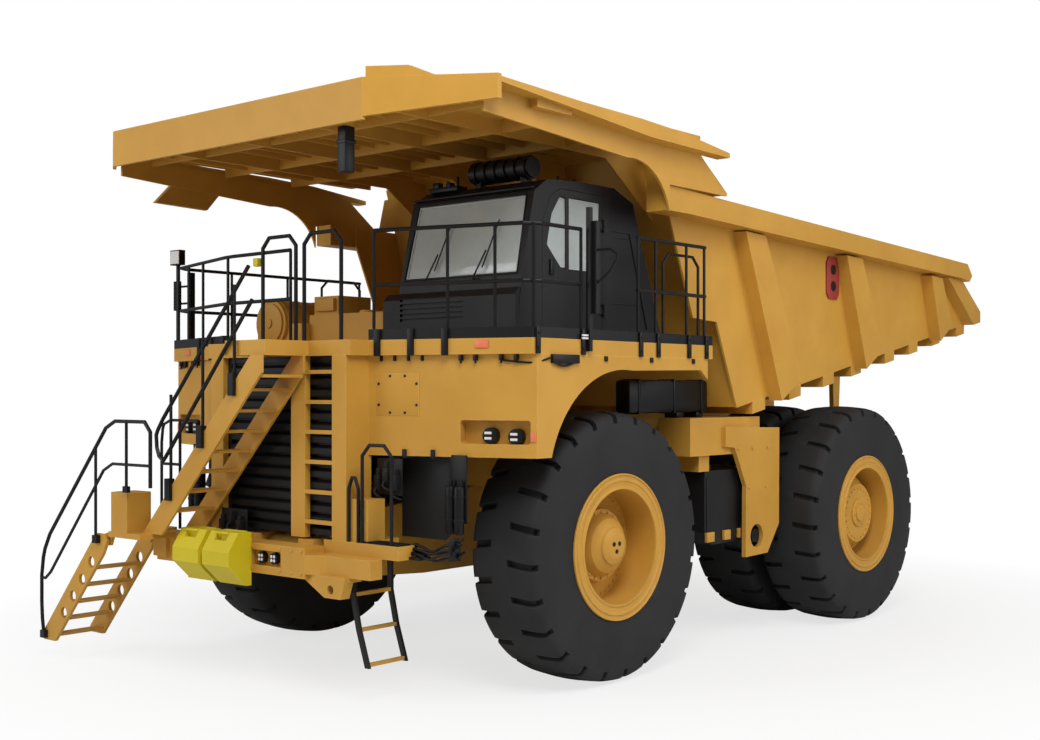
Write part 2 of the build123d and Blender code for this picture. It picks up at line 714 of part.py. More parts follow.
with BuildPart() as mirrors:
    box(DECK_X, DECK_X + 50, LEFT_MIRROR_Y - 25, LEFT_MIRROR_Y + 25, 3600, 5090)
    box(DECK_X - 40, DECK_X + 100, LEFT_MIRROR_Y + 25, LEFT_MIRROR_Y + 75, 3990, 4950)
    guard = [(60, 4650), (360, 4650), (340, 4480), (100, 4310)]
    tube([(DECK_X + x, LEFT_MIRROR_Y + 50, z) for x, z in guard], 14)
    box(-DECK_X - 70, -DECK_X, RIGHT_MIRROR_Y - 35, RIGHT_MIRROR_Y + 35, 3600, 4710)
    for z in (4320, 4540):
        tube([(-DECK_X - 35, RIGHT_MIRROR_Y, z), (-DECK_X - 320, RIGHT_MIRROR_Y, z)], 14)
    box(-DECK_X - 350, -DECK_X - 250, RIGHT_MIRROR_Y - 50, RIGHT_MIRROR_Y, 4230, 4610)
    box(-DECK_X - 36, -DECK_X, RIGHT_MIRROR_Y - 218, RIGHT_MIRROR_Y - 182, 3600, 4790)
    box(-DECK_X - 120, -DECK_X + 90, RIGHT_MIRROR_Y - 250, RIGHT_MIRROR_Y - 170, 4790, 4980)
save(mirrors, "mirrors")

# Wheel chocks hung on the bumper

CHOCK_SIDE = [
    (BUMPER_FRONT, 1680),
    (-5420, 1680),
    (-5540, 1480),
    (-5540, 1330),
    (-5320, 1110),
    (BUMPER_FRONT, 1110),
]

CHOCK_W = 470
CHOCK_LEFT_EDGES = (-1100, -550)

with BuildPart() as wheel_chocks:
    for x in CHOCK_LEFT_EDGES:
        side_prism(CHOCK_SIDE, x, x + CHOCK_W)
        box(x + 120, x + 330, -5480, -5400, 1590, 1700, Mode.SUBTRACT)
save(wheel_chocks, "wheel_chocks")

with BuildPart() as air_cleaners:
    rod_between((-1540, -3900, 4010), (-1540, -3200, 4010), 285)
    box(-1850, -1000, -3860, -3240, DECK_Z, 4000)
    box(-1000, 340, -3740, -3100, DECK_Z, 4100)
    box(-960, -520, -3700, -3200, 4100, 4320)
save(air_cleaners, "air_cleaners")

TANK_FRONT = FRONT_Y + TYRE_R + 505
TANK_BACK = REAR_Y - TYRE_R - 195
TANK_SIDE = [
    (TANK_FRONT, 1450),
    (TANK_FRONT + 150, 1290),
    (TANK_BACK - 150, 1290),
    (TANK_BACK, 1450),
    (TANK_BACK, 2060),
    (TANK_BACK - 150, 2200),
    (TANK_FRONT, 2200),
]

with BuildPart() as side_tanks:
    for side in (1, -1):
        side_prism(TANK_SIDE, side * 1150, side * 2600)
save(side_tanks, "side_tanks")

GUARD = [
    (TANK_BACK - 1230, 2740),
    (TANK_BACK + 30, 2710),
    (TANK_BACK + 20, 1460),
    (TANK_BACK - 260, 1100),
    (TANK_BACK - 780, 1090),
    (TANK_BACK - 770, 1990),
    (TANK_BACK - 1030, 2480),
    (TANK_BACK - 1230, 2500),
]

with BuildPart() as guard_plates:
    for side in (1, -1):
        box(side * 2200, side * 2670, TANK_FRONT - 400, TANK_BACK - 360, FRAME_TOP, 2860)
        side_prism(GUARD, side * 2670, side * 2730)
        cross_bore((TANK_BACK - 520, 1340), side * 2670, side * 2730, 150)
save(guard_plates, "guard_plates")

# Boarding stair, lowered, hinged at the landing, and its handrail

STRINGER = [
    (-2190, 1560),
    (-2300, 1560),
    (-3480, 290),
    (-3440, 220),
    (-3200, 220),
    (-2160, 1330),
    (-2070, 1490),
    (-2110, 1560),
]
BOARD_HOLES = [(-2400, 1220), (-2600, 1005), (-2800, 790), (-3000, 575)]

with BuildPart() as boarding_stair:
    for y in (BOARD_FRONT, BOARD_BACK - STRINGER_T):
        front_prism(STRINGER, y, y + STRINGER_T)
        with BuildSketch(Plane.XZ.offset(-y - STRINGER_T)) as holes:
            with Locations(BOARD_HINGE):
                Circle(BOARD_PIN + RUN_FIT)
            with Locations(*BOARD_HOLES):
                Circle(68)
        extrude(holes.sketch, amount=STRINGER_T, mode=Mode.SUBTRACT)
    for i in range(5):
        x = -3230 + 205 * i
        z = 290 + 215 * i
        box(x - 100, x + 60, BOARD_FRONT + STRINGER_T, BOARD_BACK - STRINGER_T, z - 15, z + 15)
save(boarding_stair, "boarding_stair")

BOARD_RAIL = [
    (-3400, 330),
    (-3440, 560),
    (-3440, 1100),
    (-3330, 1410),
    (-1960, 2850),
    (-1150, 2850),
    (-1150, 2130),
]
BOARD_MID_RAIL = [(-3440, 960), (-3310, 960), (-2010, 2370), (-1150, 2370)]

with BuildPart() as boarding_rail:
    rail_y = BOARD_FRONT - 30
    tube([(x, rail_y, z) for x, z in BOARD_RAIL], RAIL_R)
    tube([(x, rail_y, z) for x, z in BOARD_MID_RAIL], POST_R)
    for x, low, high in ((-2250, 1540, 2545), (-1620, 2110, 2850)):
        tube([(x, rail_y, low), (x, rail_y, high)], POST_R)
    for x, z in ((-3400, 290), (-2250, 1500)):
        box(x - 45, x + 45, rail_y - RAIL_R, BOARD_FRONT, z - 45, z + 45)
    box(-1665, -1575, rail_y - RAIL_R, rail_y + RAIL_R, 2060, 2130)
save(boarding_rail, "boarding_rail")

# Dump body: side plates with rails, ribs and the rear post

SIDE_PLATE = [
    (-110, 2980),
    (TAIL_Y, floor_z(TAIL_Y)),
    (TAIL_Y, 4560),
    (6300, 5200),
    (-340, 5480),
    (-1540, 5490),
    (-1540, 5230),
    (-1060, 4060),
    (-560, 4030),
]
WING_IN = 3060
WING_T = 30
TOP_RAIL = [
    (-1980, 5500),
    (6220, 5230),
    (6400, 5050),
    (6300, 4950),
    (6000, 4990),
    (-1560, 5220),
    (-1980, 5220),
]
REAR_POST = [(5700, 4990), (6240, 4970), (6960, 4500), (6960, floor_z(6960)), (6700, floor_z(6700))]
# Columns: front and back at the top, front and back at the foot
RIBS = [(-200, 260, 650, 1110), (2380, 2830, 2960, 3440), (5100, 5490, 5430, 5840)]

with BuildPart() as body_sides:
    side_prism(SIDE_PLATE, SIDE_IN, SIDE_OUT)
    with BuildSketch(Plane.YZ.offset(WING_IN)) as wing:
        with BuildLine():
            Polyline((-1990, 5500), (-840, 5500), (-1400, 5925), (-1400, 5960), (CANOPY_SIDE_Y, 6080))
            Polyline((CANOPY_SIDE_Y, 6080), (CANOPY_SIDE_Y, 5830), (-3500, 5740), (-2750, 5695))
            ThreePointArc((-2750, 5695), (-2230, 5560), (-1990, 5200))
            Line((-1990, 5200), (-1990, 5500))
        make_face()
    extrude(wing.sketch, amount=WING_T)
    side_prism(TOP_RAIL, SIDE_OUT, RAIL_X)
    for top_a, top_b, low_a, low_b in RIBS:
        outline = [
            (top_a, 5150 - 0.035 * top_a),
            (top_b, 5150 - 0.035 * top_b),
            (low_b, floor_z(low_b) + 120),
            (low_a, floor_z(low_a) - 60),
        ]
        side_prism(outline, SIDE_OUT, RIB_OUT)
    side_prism(REAR_POST, SIDE_OUT, RIB_OUT)
    mirror(about=Plane.YZ)
save(body_sides, "body_sides")

BOLSTER_W = 300
EYE_HALF = 105
LUG_NEAR = (HOIST_X - EYE_HALF - 40, HOIST_X - EYE_HALF - 10)
LUG_FAR = (HOIST_X + EYE_HALF + 10, HOIST_X + EYE_HALF + 40)
BEAM_LOW_Z = PIVOT_Z - 200

with BuildPart() as body_floor:
    floor_section = [
        (HEAD_LOW_Y, floor_z(HEAD_LOW_Y)),
        (TAIL_Y, floor_z(TAIL_Y)),
        (TAIL_Y, floor_z(TAIL_Y) + 40),
        (HEAD_LOW_Y, floor_z(HEAD_LOW_Y) + 40),
    ]
    side_prism(floor_section, -SIDE_IN, SIDE_IN)
    for y in (250, 1150, 2050, 2850, 3900, 4700, 5500, 6450):
        bolster = [
            (y, floor_z(y)),
            (y + BOLSTER_W, floor_z(y + BOLSTER_W)),
            (y + BOLSTER_W, floor_z(y + BOLSTER_W) - 150),
            (y, floor_z(y) - 150),
        ]
        side_prism(bolster, -SIDE_OUT, SIDE_OUT)
    for side in (1, -1):
        beam = [
            (0, BEAM_LOW_Z),
            (0, floor_z(0)),
            (PIVOT_Y + 200, floor_z(PIVOT_Y + 200)),
            (PIVOT_Y + 200, PIVOT_Z),
            (PIVOT_Y, BEAM_LOW_Z),
        ]
        side_prism(beam, side * RAIL_IN, side * RAIL_OUT)
        cross_bore((PIVOT_Y, PIVOT_Z), side * RAIL_IN, side * RAIL_OUT, 200, Mode.ADD)
        cross_bore((PIVOT_Y, PIVOT_Z), side * RAIL_IN, side * RAIL_OUT, PIN_R + PIN_FIT)
        for near, far in (LUG_NEAR, LUG_FAR):
            lug = [
                (HOIST_HIGH[0] - 120, floor_z(HOIST_HIGH[0])),
                (HOIST_HIGH[0] + 120, floor_z(HOIST_HIGH[0])),
                (HOIST_HIGH[0] + 120, HOIST_HIGH[1] - 60),
                (HOIST_HIGH[0] - 120, HOIST_HIGH[1] - 60),
            ]
            side_prism(lug, side * near, side * far)
save(body_floor, "body_floor")


def head_front(z):
    """Place (y) of the headboard's front face at a height."""
    low_z = floor_z(HEAD_LOW_Y)
    return HEAD_LOW_Y - 41 + (HEAD_TOP_Y - HEAD_LOW_Y) * (z - low_z) / (HEAD_TOP_Z - low_z)


with BuildPart() as body_headboard:
    headboard = [
        (HEAD_LOW_Y, floor_z(HEAD_LOW_Y) + 40),
        (HEAD_TOP_Y, HEAD_TOP_Z),
        (HEAD_TOP_Y - 41, HEAD_TOP_Z),
        (HEAD_LOW_Y - 41, floor_z(HEAD_LOW_Y)),
        (HEAD_LOW_Y, floor_z(HEAD_LOW_Y)),
    ]
    side_prism(headboard, -SIDE_IN, SIDE_IN)
    upper = [
        (head_front(5520) + 41, 5520),
        (head_front(5960) + 41, 5960),
        (head_front(5960), 5960),
        (head_front(5520), 5520),
    ]
    for side in (1, -1):
        side_prism(upper, side * SIDE_IN, side * WING_IN)
        edge = side * (WING_IN + 1)
        corner = [(edge, 5540), (edge, 6000), (side * 2800, 6000), (side * 2800, 5960)]
        front_prism(corner, -1100, -600, Mode.SUBTRACT)
save(body_headboard, "body_headboard")

# Canopy: sheet over the cab with front and corner plates, side wings, beams and headboard gussets

CANOPY_TOP_BACK = 6130
CANOPY_T = 40
CANOPY_SHEET = [
    (CANOPY_FRONT, CANOPY_Z),
    (-1350, CANOPY_Z),
    (HEAD_TOP_Y, CANOPY_TOP_BACK),
    (HEAD_TOP_Y, HEAD_TOP_Z),
    (HEAD_TOP_Y - 41, HEAD_TOP_Z),
    (-1350, CANOPY_Z - CANOPY_T),
    (CANOPY_FRONT + 40, CANOPY_Z - CANOPY_T),
    (CANOPY_FRONT + 40, 5760),
    (CANOPY_FRONT, 5760),
]
WING_SIDE = [
    (CANOPY_SIDE_Y, 6140),
    (-3720, 6100),
    (-2750, 6090),
    (-2000, 6060),
    (-1050, 5960),
    (-1050, 5905),
    (-2570, 5920),
    (-4100, 6030),
    (CANOPY_SIDE_Y, 6090),
]
CORNER_PLAN = [(CANOPY_X, CANOPY_FRONT), (CANOPY_SIDE_X, CANOPY_SIDE_Y), (CANOPY_X, CANOPY_SIDE_Y)]
CORNER_PLATE = [
    (CANOPY_X, CANOPY_FRONT),
    (CANOPY_SIDE_X, CANOPY_SIDE_Y),
    (CANOPY_SIDE_X, CANOPY_SIDE_Y + 47),
    (CANOPY_X, CANOPY_FRONT + 47),
]
CORNER_UNDER = [(CANOPY_X, 5700), (CANOPY_SIDE_X, 5700), (CANOPY_SIDE_X, 5930), (CANOPY_X, 5790)]
BUMP_PLAN = [(2170, -5612), (2720, -5281), (2720, -5234), (2170, -5565)]
BUMP_CUT = [(2440, 6300), (2721, 6300), (2721, 6170)]
CANOPY_BEAMS = (650, 1900)
LEFT_LUG = [(-4320, 5960), (-3800, 5960), (-3800, 6060), (-4320, 6060)]
RIGHT_LUG = [(-4480, 5560), (-4230, 5830), (-3520, 5790), (-3730, 5540)]

with BuildPart() as body_canopy:
    side_prism(CANOPY_SHEET, 0, CANOPY_X)
    box(CANOPY_X, WING_IN, CANOPY_SIDE_Y, -1350, 6100, 6140)
    plan_prism(CORNER_PLAN, 6100, 6140)
    plan_prism(CORNER_PLATE, 5760, CANOPY_Z)
    front_prism(CORNER_UNDER, -5700, -4900, Mode.SUBTRACT)
    side_prism(WING_SIDE, WING_IN + WING_T, CANOPY_SIDE_X)
    for x in CANOPY_BEAMS:
        beam = [
            (CANOPY_FRONT + 40, 5960),
            (-1700, 5960),
            (head_front(5300), 5300),
            (head_front(6090), 6090),
            (-1350, CANOPY_Z - CANOPY_T),
            (CANOPY_FRONT + 40, CANOPY_Z - CANOPY_T),
        ]
        side_prism(beam, x, x + 30)
    mirror(about=Plane.YZ)
    plan_prism(BUMP_PLAN, 6140, 6260)
    front_prism(BUMP_CUT, -5700, -5200, Mode.SUBTRACT)
    box(1650, 1750, -5500, -5400, 5330, CANOPY_Z - CANOPY_T)
    side_prism(LEFT_LUG, WING_IN + WING_T, 3190)
    side_prism(RIGHT_LUG, -WING_IN - 100, -WING_IN - WING_T)
save(body_canopy, "body_canopy")

with BuildPart() as rock_ejectors:
    for side in (1, -1):
        ejector = [(3350, floor_z(3350)), (3600, floor_z(3600)), (3500, 2250), (3420, 2250)]
        side_prism(ejector, side * 2110, side * 2180)
save(rock_ejectors, "rock_ejectors")

# Hoist cylinders: barrel on the frame pin, rod eye between the lugs of the body

BARREL_R = 140
ROD_R = 100
EYE_R = 110
HOIST_RISE = Vector(0, HOIST_HIGH[0] - HOIST_LOW[0], HOIST_HIGH[1] - HOIST_LOW[1])
HOIST_DIR = HOIST_RISE.normalized()


def cylinder_on(x, start, end, radius, mode=Mode.ADD):
    """A round length of the hoist, from one distance above its low pin to another."""
    base = Vector(x, *HOIST_LOW) + HOIST_DIR * start
    with BuildSketch(Plane(base, z_dir=HOIST_DIR)) as section:
        Circle(radius)
    extrude(section.sketch, amount=end - start, mode=mode)


for side, word in ((1, "left"), (-1, "right")):
    x = side * HOIST_X
    with BuildPart() as barrel:
        cylinder_on(x, 90, 2230, BARREL_R)
        cylinder_on(x, 150, 2231, ROD_R + PIN_FIT, Mode.SUBTRACT)
        cross_bore(HOIST_LOW, x - EYE_HALF, x + EYE_HALF, EYE_R, Mode.ADD)
        cross_bore(HOIST_LOW, x - 200, x + 200, HOIST_PIN_R + PIN_FIT)
    save(barrel, f"hoist_barrel_{word}")
    with BuildPart() as rod:
        cylinder_on(x, 200, HOIST_RISE.length, ROD_R)
        cross_bore(HOIST_HIGH, x - EYE_HALF, x + EYE_HALF, EYE_R, Mode.ADD)
    save(rod, f"hoist_rod_{word}")
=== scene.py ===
import json
import math
from contextlib import contextmanager

import bmesh
import bpy
from mathutils import Matrix, Vector


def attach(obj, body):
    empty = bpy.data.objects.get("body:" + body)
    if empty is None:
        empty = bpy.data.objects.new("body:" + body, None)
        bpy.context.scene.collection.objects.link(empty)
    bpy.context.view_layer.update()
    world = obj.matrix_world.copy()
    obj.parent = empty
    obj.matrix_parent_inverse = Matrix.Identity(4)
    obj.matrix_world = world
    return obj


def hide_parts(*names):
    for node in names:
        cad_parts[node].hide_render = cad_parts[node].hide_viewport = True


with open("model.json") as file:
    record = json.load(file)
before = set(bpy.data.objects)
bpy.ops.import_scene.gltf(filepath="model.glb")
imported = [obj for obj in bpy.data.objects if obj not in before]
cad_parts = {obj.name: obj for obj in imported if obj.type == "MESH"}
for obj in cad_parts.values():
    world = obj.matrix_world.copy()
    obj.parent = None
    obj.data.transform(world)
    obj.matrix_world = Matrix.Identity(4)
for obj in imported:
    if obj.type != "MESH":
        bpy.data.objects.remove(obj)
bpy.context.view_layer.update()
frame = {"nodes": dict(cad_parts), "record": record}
CAD = frame["nodes"]

# The truck's own frame, in millimetres: x to its left, y back from mid-wheelbase, z up
SHIFT_X = 30
SHIFT_Y = -580
FRONT_Y = -2590
REAR_Y = 2590
AXLE_Z = 1485
FRONT_X = 2430
REAR_IN_X = 1590
REAR_OUT_X = 2700
SIDES = ((1, "left"), (-1, "right"))


def at(x, y, z):
    """A place in the truck's frame, as metres in the shared frame."""
    return Vector(((x + SHIFT_X) / 1000, (y + SHIFT_Y) / 1000, z / 1000))


# Shader nodes: inputs are fed by name, with an underscore for a space


def feed(tree, place, value):
    """Gives an input another node's output, a colour or a number."""
    if isinstance(value, bpy.types.NodeSocket):
        tree.links.new(value, place)
    elif isinstance(value, tuple):
        place.default_value = (*value, 1)
    else:
        place.default_value = value


def feed_all(tree, places, **values):
    for name, value in values.items():
        feed(tree, places[name.replace("_", " ")], value)


def add_node(tree, kind, **values):
    node = tree.nodes.new("ShaderNode" + kind)
    feed_all(tree, node.inputs, **values)
    return node


def add_group(tree, group, **values):
    node = tree.nodes.new("ShaderNodeGroup")
    node.node_tree = group
    feed_all(tree, node.inputs, **values)
    return node.outputs


def add_math(tree, operation, *terms, kind="Math", clamp=False):
    """The result of a sum; each term is a number or another node's output."""
    node = add_node(tree, kind)
    node.operation = operation
    if clamp:
        node.use_clamp = True
    for place, term in zip(node.inputs, terms):
        feed(tree, place, term)
    return node.outputs["Value"]


def add_range(tree, value, start, end, low=0.0, high=1.0):
    """A value that goes from low to high while another goes from start to end."""
    node = add_node(tree, "MapRange", Value=value, From_Min=start, From_Max=end, To_Min=low, To_Max=high)
    return node.outputs[0]


def add_noise(tree, place, **values):
    return add_node(tree, "TexNoise", Vector=place, **values).outputs["Fac"]


def object_place(tree):
    return add_node(tree, "TexCoord").outputs["Object"]


def colour_mix(tree, mask, under, over):
    """A colour that goes from under to over with the mask; either may be an output or a plain colour."""
    mix = tree.nodes.new("ShaderNodeMix")
    mix.data_type = "RGBA"
    for place, value in ((mix.inputs[0], mask), (mix.inputs[6], under), (mix.inputs[7], over)):
        feed(tree, place, value)
    return mix.outputs[2]


def shader_mix(tree, mask, under, over):
    mix = tree.nodes.new("ShaderNodeMixShader")
    for place, value in zip(mix.inputs, (mask, under, over)):
        feed(tree, place, value)
    return mix.outputs[0]


# Camera, light and floor

LAMPS = [
    # name, place, target, size in metres, watts
    ("key_lamp", (9500, -9500, 12500), (0, -500, 2500), 7, 1230),
    ("side_lamp", (13500, 3500, 7000), (0, 500, 2200), 8, 540),
    ("front_lamp", (-5500, -13500, 6500), (0, -3000, 2000), 8, 430),
    ("back_lamp", (-7000, 12000, 9500), (0, 0, 2500), 8, 420),
]
CAMERA_PLACE = (11760, -13911, 3199)
CAMERA_HEADING = 37.95
FLOOR_RADIUS = 60
FLOOR_DROP = 0.004
FADE_START = 4.5
FADE_END = 9.5


def studio():
    camera_data = bpy.data.cameras.new("studio_camera")
    camera = bpy.data.objects.new("studio_camera", camera_data)
    bpy.context.scene.collection.objects.link(camera)
    camera.location = at(*CAMERA_PLACE)
    camera.rotation_euler = (math.radians(90), 0, math.radians(CAMERA_HEADING))
    camera_data.sensor_width = 36
    camera_data.lens = 45.6
    camera_data.shift_x = -0.1017
    camera_data.shift_y = 0.0193
    camera_data.clip_start = 0.1
    camera_data.clip_end = 400
    bpy.context.scene.camera = camera
    bpy.context.scene.view_settings.view_transform = "Standard"
    for name, place, target, size, watts in LAMPS:
        lamp_data = bpy.data.lights.new(name, "AREA")
        lamp_data.shape = "DISK"
        lamp_data.size = size
        lamp_data.energy = watts
        lamp = bpy.data.objects.new(name, lamp_data)
        bpy.context.scene.collection.objects.link(lamp)
        lamp.location = at(*place)
        lamp.rotation_euler = (at(*target) - at(*place)).to_track_quat("-Z", "Y").to_euler()


def white_world():
    """White where the camera looks, and a weaker, slightly blue light on the truck."""
    world = bpy.data.worlds.new("studio_world")
    bpy.context.scene.world = world
    world.use_nodes = True
    tree = world.node_tree
    tree.nodes.clear()
    light = add_node(tree, "Background", Color=(0.93, 0.95, 1), Strength=0.3)
    seen = add_node(tree, "Background", Color=(1, 1, 1))
    ray = add_node(tree, "LightPath").outputs
    either = add_math(tree, "MAXIMUM", ray["Is Camera Ray"], ray["Is Transmission Ray"])
    add_node(tree, "OutputWorld", Surface=shader_mix(tree, either, light.outputs[0], seen.outputs[0]))


def pale_floor():
    """A floor that takes the truck's shadow and fades to white away from it."""
    select_none()
    bpy.ops.mesh.primitive_circle_add(
        vertices=96, radius=FLOOR_RADIUS, fill_type="NGON", location=(0, 0, -FLOOR_DROP)
    )
    floor = bpy.context.object
    floor.name = "studio_floor"
    material = bpy.data.materials.new("pale_floor")
    material.use_nodes = True
    tree = material.node_tree
    tree.nodes.clear()
    matt = add_node(tree, "BsdfDiffuse", Color=(0.86, 0.86, 0.85))
    bright = add_node(tree, "Emission", Color=(1, 1, 1))
    away = add_math(tree, "LENGTH", object_place(tree), kind="VectorMath")
    fade = add_range(tree, away, FADE_START, FADE_END, 0.72, 1.0)
    seen = add_math(tree, "MULTIPLY", fade, add_node(tree, "LightPath").outputs["Is Camera Ray"])
    add_node(tree, "OutputMaterial", Surface=shader_mix(tree, seen, matt.outputs[0], bright.outputs[0]))
    floor.data.materials.append(material)


# Shader groups that the finishes share


def new_group(name, inputs, outputs):
    """A shader group, and the sockets inside it that stand for its inputs and its outputs."""
    group = bpy.data.node_groups.new(name, "ShaderNodeTree")
    for socket, start in inputs.items():
        made = group.interface.new_socket(socket, in_out="INPUT", socket_type="NodeSocketFloat")
        made.default_value = start
    for socket in outputs:
        group.interface.new_socket(socket, in_out="OUTPUT", socket_type="NodeSocketFloat")
    return group, group.nodes.new("NodeGroupInput").outputs, group.nodes.new("NodeGroupOutput").inputs


def surface_grain_group():
    """Fine paint or rubber grain as a height, and slow cloudy change as a value from 0 to 1."""
    starts = {"Grain Scale": 90.0, "Cloud Scale": 0.9}
    group, inside, out = new_group("surface_grain", starts, ("Height", "Cloud"))
    place = object_place(group)
    cloud = add_noise(group, place, Scale=inside["Cloud Scale"], Detail=4, Roughness=0.6)
    feed(group, out["Height"], add_noise(group, place, Scale=inside["Grain Scale"], Detail=3))
    feed(group, out["Cloud"], add_range(group, cloud, 0.34, 0.66))
    return group


def road_dust_group():
    """Dust that settles on upper faces and rises from the ground, as a mask."""
    group, inside, out = new_group("road_dust", {"Top": 0.35, "Low": 0.3, "Low Height": 1.6}, ("Mask",))
    place = object_place(group)
    height = add_node(group, "SeparateXYZ", Vector=place).outputs["Z"]
    normal = add_node(group, "NewGeometry").outputs["Normal"]
    facing_up = add_range(group, add_node(group, "SeparateXYZ", Vector=normal).outputs["Z"], 0.45, 1.0)
    near_ground = add_range(group, height, 0, inside["Low Height"], 1, 0)
    top_part = add_math(group, "MULTIPLY", facing_up, inside["Top"])
    low_part = add_math(group, "MULTIPLY", near_ground, inside["Low"])
    ragged = add_range(group, add_noise(group, place, Scale=3.2, Detail=6, Roughness=0.68), 0.36, 0.7)
    both = add_math(group, "ADD", top_part, low_part)
    feed(group, out["Mask"], add_math(group, "MULTIPLY", both, ragged, clamp=True))
    return group


def wear_and_painted_highlight_group():
    """Brighter paint along outer edges, as a mask: partly wear, partly a painted highlight."""
    group, inside, out = new_group("wear_and_painted_highlight", {"Width": 0.018, "Amount": 0.6}, ("Mask",))
    rounded = add_node(group, "Bevel", Radius=inside["Width"])
    rounded.samples = 4
    normal = add_node(group, "NewGeometry").outputs["Normal"]
    turn = add_math(group, "DOT_PRODUCT", rounded.outputs[0], normal, kind="VectorMath")
    scuffs = add_range(group, add_noise(group, object_place(group), Scale=9, Detail=6), 0.3, 0.62)
    wear_and_highlight_edge = add_math(group, "MULTIPLY", add_range(group, turn, 0.99, 0.86), scuffs)
    feed(group, out["Mask"], add_math(group, "MULTIPLY", wear_and_highlight_edge, inside["Amount"], clamp=True))
    return group


GRAIN = surface_grain_group()
DUST = road_dust_group()
WEAR_AND_HIGHLIGHT = wear_and_painted_highlight_group()


# Finishes


def new_material(name):
    """A material, its node tree and the inputs of its shader."""
    material = bpy.data.materials.new(name)
    material.use_nodes = True
    return material, material.node_tree, material.node_tree.nodes["Principled BSDF"].inputs


def finish(
    name,
    colour,
    darker,
    rough,
    metal=0.0,
    dust=(0.35, 0.3),
    dust_colour=(0.42, 0.33, 0.22),
    wear_and_highlight_edge=None,
    grain=90.0,
    bump=0.0012,
    cloud=0.9,
    shine=0.35,
):
    """A surface with wear: cloudy colour, dust on upper and low faces, brighter edges that are partly wear and
    partly a painted highlight, and a fine grain.
    """
    material, tree, surface = new_material(name)
    texture = add_group(tree, GRAIN, Grain_Scale=grain, Cloud_Scale=cloud)
    tint = colour_mix(tree, texture["Cloud"], darker, colour)
    # Brighter edges: partly wear, partly a painted highlight.
    if wear_and_highlight_edge:
        tint = colour_mix(tree, add_group(tree, WEAR_AND_HIGHLIGHT)["Mask"], tint, wear_and_highlight_edge)
    settled = add_group(tree, DUST, Top=dust[0], Low=dust[1])["Mask"]
    raised = add_node(tree, "Bump", Strength=0.5, Distance=bump, Height=texture["Height"])
    feed_all(
        tree,
        surface,
        Base_Color=colour_mix(tree, settled, tint, dust_colour),
        Roughness=add_range(tree, settled, 0, 1, rough, min(1.0, rough + 0.3)),
        Metallic=metal,
        Specular_IOR_Level=shine,
        Normal=raised.outputs[0],
    )
    return material


# Each edge colour below is brighter than its paint: partly wear, partly a painted highlight along edges.
sandy_yellow = finish(
    "sandy_yellow_paint", (0.6, 0.315, 0.048), (0.53, 0.27, 0.038), 0.5, wear_and_highlight_edge=(0.74, 0.43, 0.1),
    dust=(0.22, 0.22), dust_colour=(0.46, 0.3, 0.12), shine=0.28,
)
cab_black = finish(
    "black_cab_paint", (0.0085, 0.0085, 0.0095), (0.006, 0.006, 0.007), 0.46, wear_and_highlight_edge=(0.03, 0.03, 0.031),
    dust=(0.14, 0.08), dust_colour=(0.05, 0.045, 0.04), shine=0.25,
)
rail_black = finish(
    "black_rail_paint", (0.007, 0.007, 0.0075), (0.0055, 0.0055, 0.006), 0.42,
    dust=(0.12, 0.08), dust_colour=(0.05, 0.042, 0.035), shine=0.25,
)
chassis_black = finish(
    "black_chassis_paint", (0.012, 0.012, 0.0125), (0.008, 0.008, 0.0085), 0.5,
    dust=(0.3, 0.35), dust_colour=(0.08, 0.064, 0.048), shine=0.25,
)
tyre_rubber = finish(
    "dusty_tyre_rubber", (0.021, 0.021, 0.022), (0.016, 0.016, 0.017), 0.7, wear_and_highlight_edge=(0.05, 0.048, 0.047),
    dust=(0.2, 0.25), dust_colour=(0.046, 0.042, 0.038), grain=60.0, bump=0.002, cloud=1.6, shine=0.3,
)
chock_yellow = finish(
    "lemon_chock_plastic", (0.68, 0.55, 0.008), (0.6, 0.47, 0.007), 0.5, wear_and_highlight_edge=(0.8, 0.7, 0.04),
    dust=(0.15, 0.15), dust_colour=(0.5, 0.42, 0.2),
)
engine_iron = finish(
    "dark_cast_iron", (0.055, 0.052, 0.05), (0.035, 0.034, 0.033), 0.6, metal=0.6,
    dust=(0.4, 0.4), dust_colour=(0.16, 0.13, 0.1), grain=140.0, bump=0.003,
)
ground_steel = finish(
    "ground_steel", (0.55, 0.55, 0.56), (0.45, 0.45, 0.46), 0.28, metal=1.0,
    dust=(0.25, 0.25), grain=220.0, bump=0.0005,
)
lamp_lens = finish(
    "frosted_lamp_lens", (0.8, 0.78, 0.76), (0.7, 0.68, 0.67), 0.25,
    dust=(0.1, 0.05), dust_colour=(0.6, 0.55, 0.5), grain=40.0,
)
reflector_red = finish(
    "coral_reflector", (0.8, 0.2, 0.1), (0.7, 0.16, 0.08), 0.3,
    dust=(0.1, 0.05), dust_colour=(0.5, 0.25, 0.15), grain=60.0,
)
lug_red = finish(
    "brick_red_paint", (0.36, 0.04, 0.03), (0.28, 0.03, 0.025), 0.5, wear_and_highlight_edge=(0.45, 0.12, 0.08),
    dust=(0.2, 0.1),
)
seal_grey = finish(
    "pale_window_seal", (0.5, 0.52, 0.52), (0.42, 0.44, 0.44), 0.6, dust=(0.1, 0.05), grain=60.0,
)
flap_rubber = finish(
    "black_flap_rubber", (0.014, 0.014, 0.014), (0.01, 0.01, 0.01), 0.7,
    dust=(0.2, 0.35), dust_colour=(0.06, 0.05, 0.042),
)


def window_glass():
    """Pale glass that is only partly clear, so that it half hides the cab's inside."""
    material, tree, surface = new_material("cab_window_glass")
    cloud = add_group(tree, GRAIN, Grain_Scale=14.0, Cloud_Scale=2.5)["Cloud"]
    feed_all(
        tree,
        surface,
        Base_Color=colour_mix(tree, cloud, (0.6, 0.65, 0.63), (0.68, 0.73, 0.71)),
        Roughness=add_range(tree, cloud, 0, 1, 0.02, 0.07),
        Transmission_Weight=0.45,
        IOR=1.45,
    )
    return material


